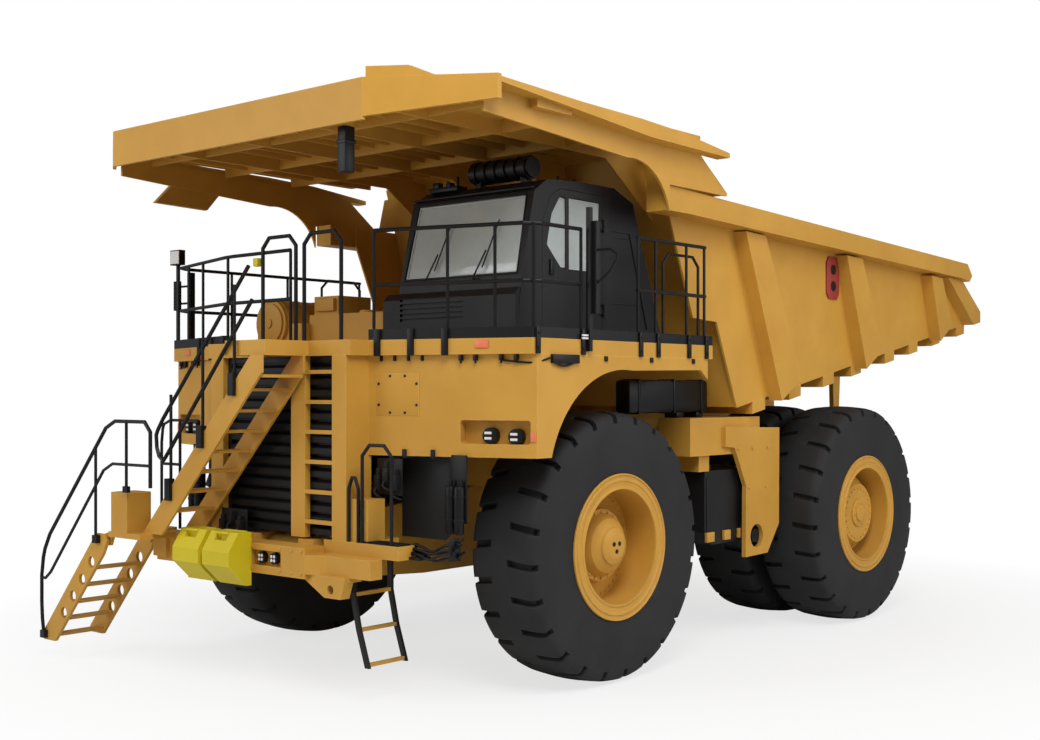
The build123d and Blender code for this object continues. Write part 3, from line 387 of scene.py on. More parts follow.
def woven_cloth():
    material, tree, surface = new_material("woven_seat_cloth")
    threads = add_node(tree, "TexChecker", Vector=object_place(tree), Scale=220).outputs["Fac"]
    feed_all(
        tree,
        surface,
        Base_Color=colour_mix(tree, threads, (0.035, 0.035, 0.038), (0.06, 0.06, 0.064)),
        Roughness=0.9,
        Normal=add_node(tree, "Bump", Distance=0.001, Height=threads).outputs[0],
    )
    return material


seat_cloth = woven_cloth()

# The finish of each of the record's slots
FINISHES = {
    "body_yellow": sandy_yellow,
    "frame_yellow": sandy_yellow,
    "black_paint": rail_black,
    "chock_yellow": chock_yellow,
    "tyre": tyre_rubber,
    "glass": window_glass(),
    "seat_cloth": seat_cloth,
    "engine_iron": engine_iron,
    "steel": ground_steel,
}

# Where the platform's hand loops and the lower ladder's straps lie, in metres of the shared frame
LOOP_FOOT_Z = 1.641
LOOP_BACK_Y = -5.5405
STRAP_TOP_Z = 1.5
LADDER_MIDDLE_Y = -5.2975
LADDER_HALF_WIDTH = 0.2365


def partly_black(name, black, mask_of):
    """The sandy yellow, but black where a mask says so."""
    material = sandy_yellow.copy()
    material.name = name
    tree = material.node_tree
    base = tree.nodes["Principled BSDF"].inputs["Base Color"]
    yellow = base.links[0].from_socket
    place = add_node(tree, "SeparateXYZ", Vector=object_place(tree)).outputs
    feed(tree, base, colour_mix(tree, mask_of(tree, place), yellow, black))
    return material


def hand_loops(tree, place):
    above = add_math(tree, "GREATER_THAN", place["Z"], LOOP_FOOT_Z)
    ahead = add_math(tree, "LESS_THAN", place["Y"], LOOP_BACK_Y)
    return add_math(tree, "MULTIPLY", above, ahead)


def ladder_straps(tree, place):
    below = add_math(tree, "LESS_THAN", place["Z"], STRAP_TOP_Z)
    aside = add_math(tree, "ABSOLUTE", add_math(tree, "SUBTRACT", place["Y"], LADDER_MIDDLE_Y))
    outside = add_math(tree, "GREATER_THAN", aside, LADDER_HALF_WIDTH)
    return add_math(tree, "MULTIPLY", below, outside)


# Ways of working that the pieces share


def select_none():
    bpy.ops.object.select_all(action="DESELECT")


def open_piece(piece):
    """Makes a piece the one that the next operators act on."""
    select_none()
    piece.select_set(True)
    bpy.context.view_layer.objects.active = piece


@contextmanager
def editing(piece, action="SELECT"):
    """Edit mode on a piece, for the lines that follow, with all of it selected or none."""
    open_piece(piece)
    bpy.ops.object.mode_set(mode="EDIT")
    bpy.ops.mesh.select_all(action=action)
    yield
    bpy.ops.object.mode_set(mode="OBJECT")


def apply_place():
    bpy.ops.object.transform_apply(location=True, rotation=True, scale=True)


def join_all(pieces):
    """One piece from several."""
    select_none()
    for piece in pieces:
        piece.select_set(True)
    bpy.context.view_layer.objects.active = pieces[0]
    if len(pieces) > 1:
        bpy.ops.object.join()
    return bpy.context.view_layer.objects.active


def settle(pieces, name, material, body="chassis"):
    """Joins pieces into one, puts its place into its mesh, names and paints it and hangs it on its body."""
    piece = join_all(pieces)
    open_piece(piece)
    apply_place()
    piece.name = name
    piece.data.name = name
    piece.data.materials.clear()
    piece.data.materials.append(material)
    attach(piece, body)
    return piece


def mirrored(build, name, material, body="chassis"):
    """Settles a set of pieces for each side of the truck; build takes the side, 1 or -1."""
    for side, word in SIDES:
        settle(build(side), f"{name}_{word}", material, body)


def copy_to(piece, place, turn=None):
    """A copy with its own mesh, turned about the origin first and then moved."""
    twin = piece.copy()
    twin.data = piece.data.copy()
    bpy.context.scene.collection.objects.link(twin)
    if turn is not None:
        twin.data.transform(turn)
    twin.data.transform(Matrix.Translation(place))
    return twin


def swing(piece, x, y, degrees):
    """Turns a piece about the upright line through a place."""
    centre = at(x, y, 0)
    turn = Matrix.Rotation(math.radians(degrees), 4, "Z")
    piece.data.transform(Matrix.Translation(centre) @ turn @ Matrix.Translation(-centre))
    return piece


def smooth(piece, degrees=38):
    open_piece(piece)
    bpy.ops.object.shade_smooth_by_angle(angle=math.radians(degrees))


def round_edges(piece, edge, segments=2, sharp=35):
    """Rounds the sharp edges by this many millimetres."""
    with editing(piece, "DESELECT"):
        bpy.ops.mesh.select_mode(type="EDGE")
        bpy.ops.mesh.edges_select_sharp(sharpness=math.radians(sharp))
        bpy.ops.mesh.bevel(offset=edge / 1000, segments=segments, affect="EDGES", clamp_overlap=True)


def block(x0, x1, y0, y1, z0, z1, edge=6):
    """A block between two corners, its edges rounded."""
    select_none()
    middle = at((x0 + x1) / 2, (y0 + y1) / 2, (z0 + z1) / 2)
    bpy.ops.mesh.primitive_cube_add(size=1, location=middle)
    piece = bpy.context.object
    piece.scale = (abs(x1 - x0) / 1000, abs(y1 - y0) / 1000, abs(z1 - z0) / 1000)
    apply_place()
    round_edges(piece, edge)
    smooth(piece)
    return piece


def rod(start, end, radius, sides=16, edge=3):
    """A round bar between two places, its rims rounded."""
    a, b = at(*start), at(*end)
    select_none()
    bpy.ops.mesh.primitive_cylinder_add(
        vertices=sides,
        radius=radius / 1000,
        depth=(b - a).length,
        location=(a + b) / 2,
        rotation=(b - a).to_track_quat("Z", "Y").to_euler(),
    )
    piece = bpy.context.object
    apply_place()
    if edge:
        round_edges(piece, edge, sharp=60)
    smooth(piece)
    return piece


def pipe(points, radius, curved=True):
    """A pipe, hose or seal along a run of places, in a smooth curve or straight from place to place."""
    line = bpy.data.curves.new("run", "CURVE")
    line.dimensions = "3D"
    line.bevel_depth = radius / 1000
    line.bevel_resolution = 4
    line.use_fill_caps = True
    line.resolution_u = 6
    run = line.splines.new("NURBS" if curved else "POLY")
    run.points.add(len(points) - 1)
    for knot, place in zip(run.points, points):
        knot.co = (*at(*place), 1)
    if curved:
        run.use_endpoint_u = True
        run.order_u = 3
    piece = bpy.data.objects.new("run", line)
    bpy.context.scene.collection.objects.link(piece)
    open_piece(piece)
    bpy.ops.object.convert(target="MESH")
    piece = bpy.context.object
    smooth(piece, 60)
    return piece


def drawn_section(points):
    """A closed line of edges through places, drawn by extruding one point from place to place."""
    select_none()
    bpy.ops.mesh.primitive_plane_add(size=0.01, location=points[0])
    piece = bpy.context.object
    apply_place()
    with editing(piece):
        bpy.ops.mesh.select_mode(type="VERT")
        bpy.ops.mesh.merge(type="CENTER")
        for before, after in zip(points, points[1:]):
            bpy.ops.mesh.extrude_region_move(TRANSFORM_OT_translate={"value": after - before})
        bpy.ops.mesh.select_all(action="SELECT")
        bpy.ops.mesh.edge_face_add()
        bpy.ops.mesh.delete(type="ONLY_FACE")
    return piece


def turned(section, x, y, z=AXLE_Z, steps=96):
    """A section of (offset along the axle, radius) spun round an axle across the truck."""
    piece = drawn_section([at(x + a, y, z + r) for a, r in section])
    with editing(piece):
        bpy.ops.mesh.spin(steps=steps, angle=math.tau, center=at(x, y, z), axis=(1, 0, 0))
        bpy.ops.mesh.select_all(action="SELECT")
        bpy.ops.mesh.remove_doubles(threshold=0.0002)
        bpy.ops.mesh.normals_make_consistent(inside=False)
    smooth(piece)
    return piece


def plate(outline, thick, edge=4):
    """A flat plate: its outline as places, made thick by a step in millimetres."""
    piece = drawn_section([at(*place) for place in outline])
    with editing(piece):
        bpy.ops.mesh.edge_face_add()
        bpy.ops.mesh.extrude_region_move(TRANSFORM_OT_translate={"value": Vector(thick) / 1000})
        bpy.ops.mesh.select_all(action="SELECT")
        bpy.ops.mesh.normals_make_consistent(inside=False)
    round_edges(piece, edge)
    smooth(piece)
    return piece


def hex_bolt(size):
    """A bolt head with its washer, at the origin, pointing along +x."""
    parts = []
    for sides, radius, depth, place in ((6, 1, 0.8, 0.55), (12, 1.35, 0.25, 0.1)):
        select_none()
        bpy.ops.mesh.primitive_cylinder_add(
            vertices=sides,
            radius=size * radius / 1000,
            depth=size * depth / 1000,
            rotation=(0, math.pi / 2, 0),
            location=(size * place / 1000, 0, 0),
        )
        parts.append(bpy.context.object)
        apply_place()
    round_edges(parts[0], size * 0.14, segments=1, sharp=40)
    return join_all(parts)


def bolts_at(places, facing, size):
    """Bolt heads at places in the truck's frame, all facing one way."""
    pattern = hex_bolt(size)
    turn = Vector((1, 0, 0)).rotation_difference(Vector(facing)).to_matrix().to_4x4()
    heads = [copy_to(pattern, at(*place), turn) for place in places]
    bpy.data.objects.remove(pattern)
    return join_all(heads)


def circle(x, y, radius, count, start=0.0):
    """Places in a circle round an axle, the first of them this share of a step on."""
    turns = [math.tau * (i + start) / count for i in range(count)]
    return [(x, y + radius * math.cos(a), AXLE_Z + radius * math.sin(a)) for a in turns]


# Wheels: tyres with slots between the lugs of each shoulder, rim lips, hubs and their bolts.
# A section is a list of (offset along the axle, radius), a ring of bolts (offset, radius, count, size).

TYRE_HALF_SECTION = [
    (400, 704), (420, 760), (434, 850), (446, 980), (450, 1090), (448, 1200), (443, 1290),
    (436, 1352), (424, 1416), (396, 1448), (330, 1464), (225, 1474), (112, 1482), (0, 1485),
]
LUG_COUNT = 24
STEPS_PER_LUG = 10
SLOT_STEPS = 2
SLOT_DEPTH = 0.07
SLOT_SLANT = math.radians(2.4)
SLOT_FOOT_RADIUS = 1.35
TREAD_MIDDLE = 0.112
TYRE_HALF_WIDTH = 0.45
RIM_LIP = [
    (428, 802), (444, 803), (451, 797), (451, 787), (444, 779), (437, 776), (436, 752), (441, 746),
    (448, 742), (448, 722), (438, 712), (434, 664), (442, 656), (448, 644), (446, 632), (428, 628),
]
FRONT_LEDGE = [(60, 405), (150, 400), (156, 394), (156, 330), (60, 330)]
FRONT_CAP = [(328, 208), (340, 206), (350, 196), (356, 172), (372, 150), (376, 120), (378, 0.2), (328, 0.2)]
FRONT_RINGS = [(20, 590, 44, 13), (156, 366, 20, 17), (340, 188, 12, 9)]
REAR_CAP = [(298, 190), (322, 186), (328, 178), (328, 120), (352, 112), (356, 96), (356, 0.2), (298, 0.2)]
REAR_EDGE = [(148, 524), (162, 520), (168, 508), (168, 470), (148, 468)]
REAR_RINGS = [(168, 489, 36, 13), (300, 345, 24, 15), (328, 150, 10, 11)]


def slotted_tyre():
    """One tyre round the axle at the truck's middle, to be copied to each wheel."""
    section = TYRE_HALF_SECTION + [(-a, r) for a, r in reversed(TYRE_HALF_SECTION[:-1])]
    steps = LUG_COUNT * STEPS_PER_LUG
    tyre = turned(section, 0, 0, steps=steps)
    hub = at(0, 0, AXLE_Z)
    step = math.tau / steps
    with editing(tyre, "DESELECT"):
        bpy.ops.mesh.select_mode(type="FACE")
        shape = bmesh.from_edit_mesh(tyre.data)
        for face in shape.faces:
            place = face.calc_center_median() - hub
            radius = math.hypot(place.y, place.z)
            phase = STEPS_PER_LUG / 2 if place.x < 0 else 0
            turn = (math.atan2(place.z, place.y) / step + phase) % STEPS_PER_LUG
            if radius > SLOT_FOOT_RADIUS and abs(place.x) > TREAD_MIDDLE and turn < SLOT_STEPS:
                face.select = True
        bmesh.update_edit_mesh(tyre.data)
        bpy.ops.mesh.extrude_region_shrink_fatten(TRANSFORM_OT_shrink_fatten={"value": -SLOT_DEPTH})
    for corner in tyre.data.vertices:
        place = corner.co - hub
        a = SLOT_SLANT * abs(place.x) / TYRE_HALF_WIDTH
        y = place.y * math.cos(a) - place.z * math.sin(a)
        z = place.y * math.sin(a) + place.z * math.cos(a)
        corner.co = hub + Vector((place.x, y, z))
    round_edges(tyre, 9, sharp=38)
    with editing(tyre):
        bpy.ops.mesh.normals_make_consistent(inside=False)
    smooth(tyre, 45)
    return tyre


def hub(side, x, y, sections, rings):
    """The outer middle of a wheel: its turned parts and its rings of bolts."""
    parts = [turned([(side * a, r) for a, r in section], side * x, y, steps=64) for section in sections]
    for out, radius, count, size in rings:
        parts.append(bolts_at(circle(side * (x + out), y, radius, count), (side, 0, 0), size))
    return parts


def hub_plugs(side):
    plugs = []
    for x, y, z in circle(side * (FRONT_X + 376), FRONT_Y, 55, 3, 0.25):
        plugs.append(rod((x, y, z), (x + side * 5, y, z), 26, sides=20, edge=2))
    return plugs


def wheels():
    pattern = slotted_tyre()
    for side, word in SIDES:
        front, rear = f"front_wheel_{word}", f"rear_wheels_{word}"
        places = (
            ("front", FRONT_X, FRONT_Y, front, f"front_tyre_{word}"),
            ("rear_outer", REAR_OUT_X, REAR_Y, rear, f"rear_tyres_{word}"),
            ("rear_inner", REAR_IN_X, REAR_Y, rear, f"rear_tyres_{word}"),
        )
        for name, x, y, body, node in places:
            tread = copy_to(pattern, Vector((side * x, y, 0)) / 1000)
            settle([tread], f"{name}_tread_{word}", tyre_rubber, body)
            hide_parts(node)
        for name, x, y, body, _ in places:
            lips = [turned([(end * a, r) for a, r in RIM_LIP], side * x, y) for end in (1, -1)]
            settle(lips, f"{name}_rim_lips_{word}", sandy_yellow, body)
        front_hub = hub(side, FRONT_X, FRONT_Y, (FRONT_LEDGE, FRONT_CAP), FRONT_RINGS)
        settle(front_hub, f"front_hub_{word}", sandy_yellow, front)
        settle(hub_plugs(side), f"front_hub_plugs_{word}", rail_black, front)
        rear_hub = hub(side, REAR_OUT_X, REAR_Y, (REAR_CAP, REAR_EDGE), REAR_RINGS)
        settle(rear_hub, f"rear_hub_{word}", sandy_yellow, rear)
    bpy.data.objects.remove(pattern)


# Fender panels: cover plates, lamps in the pockets, reflectors

COVER_X, COVER_Y = 1510, -4608
FENDER_TURN = math.degrees(math.atan2(260, 990))
LAMP_TURN = math.degrees(math.atan2(260, 910))
LAMP_ALONG = Vector((910, 260, 0)).normalized()
LAMP_OUT = Vector((260, -910, 0)).normalized()
POCKET_LAMPS = ((400, 2740), (690, 2730))


def on_lamp_wall(along, out, z, side):
    place = Vector((2150, -4440, z)) + LAMP_ALONG * along + LAMP_OUT * out
    return (side * place.x, place.y, z)


def fender_cover(side):
    x, y = side * COVER_X, COVER_Y
    return [swing(block(x - 260, x + 260, y - 5, y + 2, 2935, 3375, 3), x, y, side * FENDER_TURN)]


def cover_bolts(side):
    x, y = side * COVER_X, COVER_Y
    heads = []
    for across, rise in ((230, 110), (90, 190)):
        for a in (-1, 1):
            for b in (-1, 1):
                head = bolts_at([(x + a * across, y - 4, 3155 + b * rise)], (0, -1, 0), 11)
                heads.append(swing(head, x, y, side * FENDER_TURN))
    return heads


def pocket_lamps(side):
    cans = []
    for along, z in POCKET_LAMPS:
        back, front = on_lamp_wall(along, -112, z, side), on_lamp_wall(along, -26, z, side)
        cans.append(rod(back, front, 82, sides=32, edge=5))
    return cans


def pocket_lenses(side):
    lenses = []
    for along, z in POCKET_LAMPS:
        for rise in (-27, 27):
            x, y, _ = on_lamp_wall(along - 14, -24, z, side)
            bar = block(x - 40, x + 40, y - 5, y + 8, z + rise - 13, z + rise + 13, 4)
            lenses.append(swing(bar, x, y, side * LAMP_TURN))
    return lenses


def reflectors(side):
    strips = []
    for x, y, z, half, high in ((side * 3024, -4196, 2730, 29, 48), (side * 2515, -4402, 3660, 75, 38)):
        strip = block(x - half, x + half, y - 7, y + 4, z - high, z + high, 3)
        strips.append(swing(strip, x, y, side * LAMP_TURN))
    return strips


def fenders():
    mirrored(fender_cover, "fender_cover", sandy_yellow)
    mirrored(cover_bolts, "fender_cover_bolts", rail_black)
    mirrored(pocket_lamps, "fender_lamps", rail_black)
    mirrored(pocket_lenses, "fender_lamp_lenses", lamp_lens)
    mirrored(reflectors, "reflectors", reflector_red)


# Bumper: lamps, bolts and the chocks' handles; the lamp at the top of the right side

BUMPER_LAMP_Z = 1418
BUMPER_BOLT_Y = -5250
CHOCKS_X = (-1100, -550)


def bumper():
    cans, lenses = [], []
    for x in (60, 270):
        cans.append(rod((x, -5182, BUMPER_LAMP_Z), (x, -5237, BUMPER_LAMP_Z), 62, sides=28, edge=4))
        for bulb_x in (x - 23, x + 23):
            for z in (BUMPER_LAMP_Z - 21, BUMPER_LAMP_Z + 21):
                lenses.append(rod((bulb_x, -5230, z), (bulb_x, -5242, z), 17, edge=2))
    settle(cans, "bumper_lamps", rail_black)
    settle(lenses, "bumper_lamp_lenses", lamp_lens)
    places = [(x, BUMPER_BOLT_Y, z) for x in (-70, 400, 600, 760) for z in (1300, 1530)]
    places += [(x, BUMPER_BOLT_Y, z) for x in (-1780, -1500) for z in (1320, 1500)]
    settle([bolts_at(places, (0, -1, 0), 15)], "bumper_bolts", sandy_yellow)
    handles = []
    for x in CHOCKS_X:
        handles.append(rod((x + 118, -5440, 1668), (x + 332, -5440, 1668), 13))
        handles.append(block(x + 60, x + 410, -5300, -5256, 1672, 1688, 5))
    settle(handles, "chock_handles", chock_yellow)
    settle([block(-3168, -2982, -4229, -4218, 4803, 4967, 8)], "high_lamp_lens", lamp_lens)


# Under the front: mud flaps, accumulators, valves, hoses and the platforms' treads

FLAP_Y = -4400
FLAP_IN_X, FLAP_OUT_X = 1350, 2090
FLAP_LOW_Z, FLAP_TOP_Z = 1660, 2500
BOTTLE_Y = -4490
HOSE_Y = -4815
HOSE_SPACING = 24
HOSE_HEIGHTS = ((1560, 60, 1600), (1600, 40, 1640), (1640, 70, 1690), (1570, 90, 1560))  # start, sag, end
TREAD_SPACING = 35


def mud_flap(side):
    flap = [plate([
        (side * FLAP_IN_X, FLAP_Y, FLAP_TOP_Z),
        (side * FLAP_OUT_X, FLAP_Y, FLAP_TOP_Z),
        (side * FLAP_OUT_X, FLAP_Y, FLAP_LOW_Z + 80),
        (side * (FLAP_OUT_X - 80), FLAP_Y, FLAP_LOW_Z),
        (side * FLAP_IN_X, FLAP_Y, FLAP_LOW_Z),
    ], (0, 12, 0), 3)]
    flap.append(block(side * 1330, side * 2110, FLAP_Y - 14, FLAP_Y + 26, 2470, 2524, 5))
    for x, y in ((side * 1600, -4594), (side * 1930, -4508)):
        flap.append(block(x - 26, x + 26, y, -4380, 2500, 2519, 4))
        flap.append(block(x - 26, x + 26, y - 14, y + 6, 2500, 2590, 4))
    return flap


def accumulators(side):
    bottles = []
    for x in (side * 2165, side * 2285):
        bottles.append(rod((x, BOTTLE_Y, 1740), (x, BOTTLE_Y, 2230), 52, sides=24, edge=24))
        bottles.append(rod((x, BOTTLE_Y, 2220), (x, BOTTLE_Y, 2290), 22))
        for z in (1880, 2120):
            bottles.append(rod((x, BOTTLE_Y, z - 14), (x, BOTTLE_Y, z + 14), 57, sides=24))
    bottles.append(block(side * 2110, side * 2340, -4446, -4424, 1850, 2540, 4))
    return bottles


def valve_set(x, y, z, width, height):
    """A bank of valves: a back plate, blocks, round bodies and their bent lines."""
    bank = [block(x, x + width, y + 50, y + 66, z, z + height, 4)]
    steps = max(2, width // 120)
    for i in range(steps):
        middle = x + width * (i + 0.5) / steps
        low = z + height * (0.15 + 0.2 * (i % 2))
        bank.append(block(middle - 38, middle + 38, y - 20, y + 52, low, low + height * 0.4, 6))
        foot, top = low + height * 0.35, low + height * 0.58
        bank.append(rod((middle, y + 10, foot), (middle, y + 10, top), 24, sides=18))
        bank.append(pipe([
            (middle, y - 10, low + 20),
            (middle, y - 60, low - 20),
            (middle + 60, y - 50, low - 70),
            (middle + 80, y + 20, low - 90),
        ], 12))
    return bank


def platform_hoses():
    hoses = []
    for i, (z0, sag, z1) in enumerate(HOSE_HEIGHTS):
        y = HOSE_Y + HOSE_SPACING * i
        hoses.append(pipe([
            (1900, y, z0),
            (2020, y, z0 + 6),
            (2180, y + 10, z0 - sag),
            (2340, y, z1 - 30),
            (2520, y + 12, z1),
            (2590, y + 30, z1 + 50),
        ], 15))
        hoses.append(rod((2500, y + 11, z1 - 4), (2540, y + 14, z1 + 4), 22, sides=12))
        hoses.append(rod((1930, y, z0), (1980, y, z0 + 3), 21, sides=12))
    hoses.append(block(2490, 2520, -4840, -4700, 1520, 1740, 5))
    hoses.append(block(1940, 2100, -4860, -4700, 1500, 1530, 4))
    hoses.append(block(2090, 2510, -4720, -4696, 1560, 1590, 4))
    return hoses


def platform_treads():
    treads = [block(x0, x1, -4985, -4800, 1640, 1648, 2) for x0, x1 in ((1330, 1930), (830, 1130))]
    for start, count in ((1345, 17), (850, 8)):
        for i in range(count):
            x = start + TREAD_SPACING * i
            treads.append(block(x, x + 9, -4980, -4805, 1648, 1658, 2))
    return treads


def under_front():
    mirrored(mud_flap, "mud_flap", flap_rubber)
    mirrored(accumulators, "accumulators", rail_black)
    banks = []
    for x, y, z, width, height in (
        (700, -4480, 2150, 560, 380),
        (-1260, -4480, 2150, 560, 380),
        (-950, -5060, 1620, 460, 260),
        (1240, -4700, 2110, 380, 380),
    ):
        banks += valve_set(x, y, z, width, height)
    settle(banks, "front_valves", chassis_black)
    settle(platform_hoses(), "platform_hoses", rail_black)
    settle(platform_treads(), "platform_treads", rail_black)


# Middle: duct behind the arch, guard bosses, tank brackets

GUARD_EYE_Y, GUARD_EYE_Z = 390, 1340
GUARD_BOLT_X = 2730
BRACKET_Z0, BRACKET_Z1 = 1330, 1450


def arch_duct(side):
    duct = [block(side * 2190, side * 2420, -1860, -250, 2925, 3320, 45)]
    for y in (-1700, -1000, -420):
        duct.append(block(side * 2180, side * 2430, y, y + 46, 2915, 3330, 12))
    for y in (-900, -480):
        duct.append(block(side * 2210, side * 2400, y, y + 140, 2862, 2930, 10))
    return duct


def guard_bosses(side):
    boss = []
    for x0, x1, radius, sides, edge in ((2600, 2712, 88, 36, 8), (2700, 2722, 44, 24, 4)):
        start, end = (side * x0, GUARD_EYE_Y, GUARD_EYE_Z), (side * x1, GUARD_EYE_Y, GUARD_EYE_Z)
        boss.append(rod(start, end, radius, sides, edge))
    return boss


def guard_bolts(side):
    x = side * GUARD_BOLT_X
    heads = [bolts_at([(x, y, 2465) for y in (-50, 280, 640)], (side, 0, 0), 22)]
    heads.append(bolts_at([(x, y, 1960) for y in (200, 600)], (side, 0, 0), 16))
    for y0, y1 in ((-590, -430), (-210, -70), (120, 170)):
        heads.append(block(side * 2596, side * 2640, y0, y1, BRACKET_Z0, BRACKET_Z1, 8))
    return heads


def tank_bands(side):
    bands = [block(side * 2596, side * 2610, y, y + 60, 1400, 2120, 4) for y in (-560, 330)]
    bands.append(rod((side * 2420, -300, 2195), (side * 2420, -300, 2262), 62, sides=28, edge=8))
    return bands


def middle():
    mirrored(arch_duct, "arch_duct", rail_black)
    mirrored(guard_bosses, "guard_boss", rail_black)
    mirrored(guard_bolts, "guard_bolts", sandy_yellow)
    mirrored(tank_bands, "tank_bands", chassis_black)


# Dump body: lifting eye plates, canopy ribs and the sleeve of the hanging bar

EYE_PLATE_X = 2755
CROSS_RIBS_Y = (-4560, -3480, -2420)
CANOPY_EDGE_X = 2130
RIB_TOP_Z = 6122
WING_RIB_TOP_Z = 6102


def eye_plate(side):
    outline = [
        (2180, 4460), (2400, 4460), (2460, 4540), (2460, 4960),
        (2400, 5050), (2180, 5050), (2120, 4960), (2120, 4540),
    ]
    return [plate([(side * EYE_PLATE_X, y, z) for y, z in outline], (side * 26, 0, 0), 5)]


def eye_rings(side):
    return [rod((side * 2778, 2290, z), (side * 2786, 2290, z), 72, sides=28, edge=2) for z in (4640, 4870)]


def canopy_ribs():
    ribs = []
    for x in (-1600, -1275, -960, -400, -130, 130, 400, 960, 1275, 1600):
        ribs.append(block(x - 9, x + 9, -5585, -1500, 6050, RIB_TOP_Z, 3))
    for y in CROSS_RIBS_Y:
        ribs.append(block(-CANOPY_EDGE_X, CANOPY_EDGE_X, y - 14, y + 14, 5985, RIB_TOP_Z, 4))
    for side, _ in SIDES:
        for y in CROSS_RIBS_Y:
            ribs.append(block(side * CANOPY_EDGE_X, side * 3050, y - 14, y + 14, 5990, WING_RIB_TOP_Z, 4))
        ribs.append(block(side * 2560, side * 2590, -5150, -1420, 6030, WING_RIB_TOP_Z, 3))
    return ribs


def dump_body():
    mirrored(eye_plate, "eye_plate", lug_red, "dump_body")
    mirrored(eye_rings, "eye_plate_rings", rail_black, "dump_body")
    settle(canopy_ribs(), "canopy_ribs", sandy_yellow, "dump_body")
    sleeve = [block(1640, 1760, -5510, -5390, 5322, 5770, 10), block(1632, 1768, -5518, -5382, 5600, 5640, 6)]
    settle(sleeve, "hanging_bar_sleeve", rail_black, "dump_body")


# Cab: seat, console, steering wheel, window seals, wipers, roof fittings

CAB_FLOOR_Z = 3790
SEAT_X = 1500
STEERING_HUB = (1500, -3285, 4340)
SCREEN_FOOT_Y, SCREEN_FOOT_Z = -3740, 4400
SCREEN_LEAN, SCREEN_RISE = 0.2147, 0.9767
SCREEN_EDGE = [(660, 30), (2380, 30), (2350, 900), (700, 900), (660, 30)]
SCREEN_BORDER = [(688, 52), (2352, 52), (2326, 878), (724, 878), (688, 52)]
QUARTER_PANE = [(-3350, 4750), (-3110, 4510), (-3035, 4510), (-3035, 5290), (-3130, 5300), (-3270, 5100)]
DOOR_PANE = [(-2985, 4500), (-2540, 4500), (-2450, 4950), (-2450, 5300), (-2985, 5300)]
SIDE_PANES = (QUARTER_PANE, DOOR_PANE)
CUSHION_VOXEL = 0.011
CUSHION_PRESSURE = 4
CUSHION_FRAMES = 20


def seat_block(half, y0, y1, z0, z1, edge):
    return block(SEAT_X - half, SEAT_X + half, y0, y1, z0, z1, edge)


def stuffed(half, y0, y1, z0, z1, name, lift):
    """A cushion, puffed out by simulation from a block and by no more than the lift, in metres."""
    piece = seat_block(half, y0, y1, z0, z1, 40)
    open_piece(piece)
    remesh = piece.modifiers.new("even_skin", "REMESH")
    remesh.mode = "VOXEL"
    remesh.voxel_size = CUSHION_VOXEL
    bpy.ops.object.modifier_apply(modifier=remesh.name)
    start = [v.co.copy() for v in piece.data.vertices]
    cloth = piece.modifiers.new("stuffing", "CLOTH")
    cloth.settings.use_pressure = True
    cloth.settings.uniform_pressure_force = CUSHION_PRESSURE
    cloth.settings.effector_weights.gravity = 0
    for step in range(CUSHION_FRAMES):
        bpy.context.scene.frame_set(step + 1)
    open_piece(piece)
    bpy.ops.object.modifier_apply(modifier=cloth.name)
    bpy.context.scene.frame_set(1)
    for corner, rest in zip(piece.data.vertices, start):
        move = corner.co - rest
        if move.length > lift:
            corner.co = rest + move.normalized() * lift
    smooth(piece, 80)
    settle([piece], name, seat_cloth)
    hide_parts("cab_seat")


def seat_frame():
    parts = [
        seat_block(210, -2890, -2470, 4110, 4185, 16),
        seat_block(160, -2830, -2530, CAB_FLOOR_Z, 4110, 20),
        seat_block(200, -2428, -2404, 4280, 4860, 10),
    ]
    for x in (SEAT_X - 60, SEAT_X + 60):
        parts.append(rod((x, -2440, 4780), (x, -2440, 4880), 9, sides=12))
    for x in (SEAT_X - 252, SEAT_X + 252):
        parts.append(block(x - 16, x + 16, -2800, -2460, 4400, 4440, 12))
    for z in (3860, 3930, 4000, 4070):
        parts.append(seat_block(175, -2845, -2515, z, z + 26, 10))
    for x in (SEAT_X - 120, SEAT_X + 120):
        parts.append(pipe([(x, -2900, 4296), (x, -2700, 4299), (x, -2520, 4296)], 4))
        parts.append(pipe([(x, -2514, 4400), (x, -2516, 4600), (x, -2512, 4780)], 4))
    return parts


def cab_console():
    return [
        block(1160, 1840, -3600, -3450, CAB_FLOOR_Z, 4330, 30),
        block(1240, 1760, -3610, -3480, 4300, 4358, 22),
        rod((1500, -3440, 4180), (1500, -3290, 4330), 30, sides=20, edge=6),
        block(1860, 2040, -3000, -2500, CAB_FLOOR_Z, 4240, 24),
        rod((1940, -2860, 4230), (1940, -2850, 4345), 12, sides=12),
        rod((1940, -2852, 4330), (1940, -2849, 4385), 26, sides=20, edge=10),
    ]


def steering_wheel():
    x, y, z = STEERING_HUB
    turns = [math.tau * i / 36 for i in range(37)]
    ring = [(x + 200 * math.cos(a), y - 130 * math.sin(a), z + 152 * math.sin(a)) for a in turns]
    wheel = [pipe(ring, 15, curved=False), rod((x, y - 15, z - 18), (x, y + 17, z + 16), 52, sides=24, edge=8)]
    for a in (math.pi / 2, math.pi * 7 / 6, math.pi * 11 / 6):
        end = (x + 196 * math.cos(a), y - 127 * math.sin(a), z + 149 * math.sin(a))
        wheel.append(rod(STEERING_HUB, end, 12, sides=12, edge=0))
    return wheel


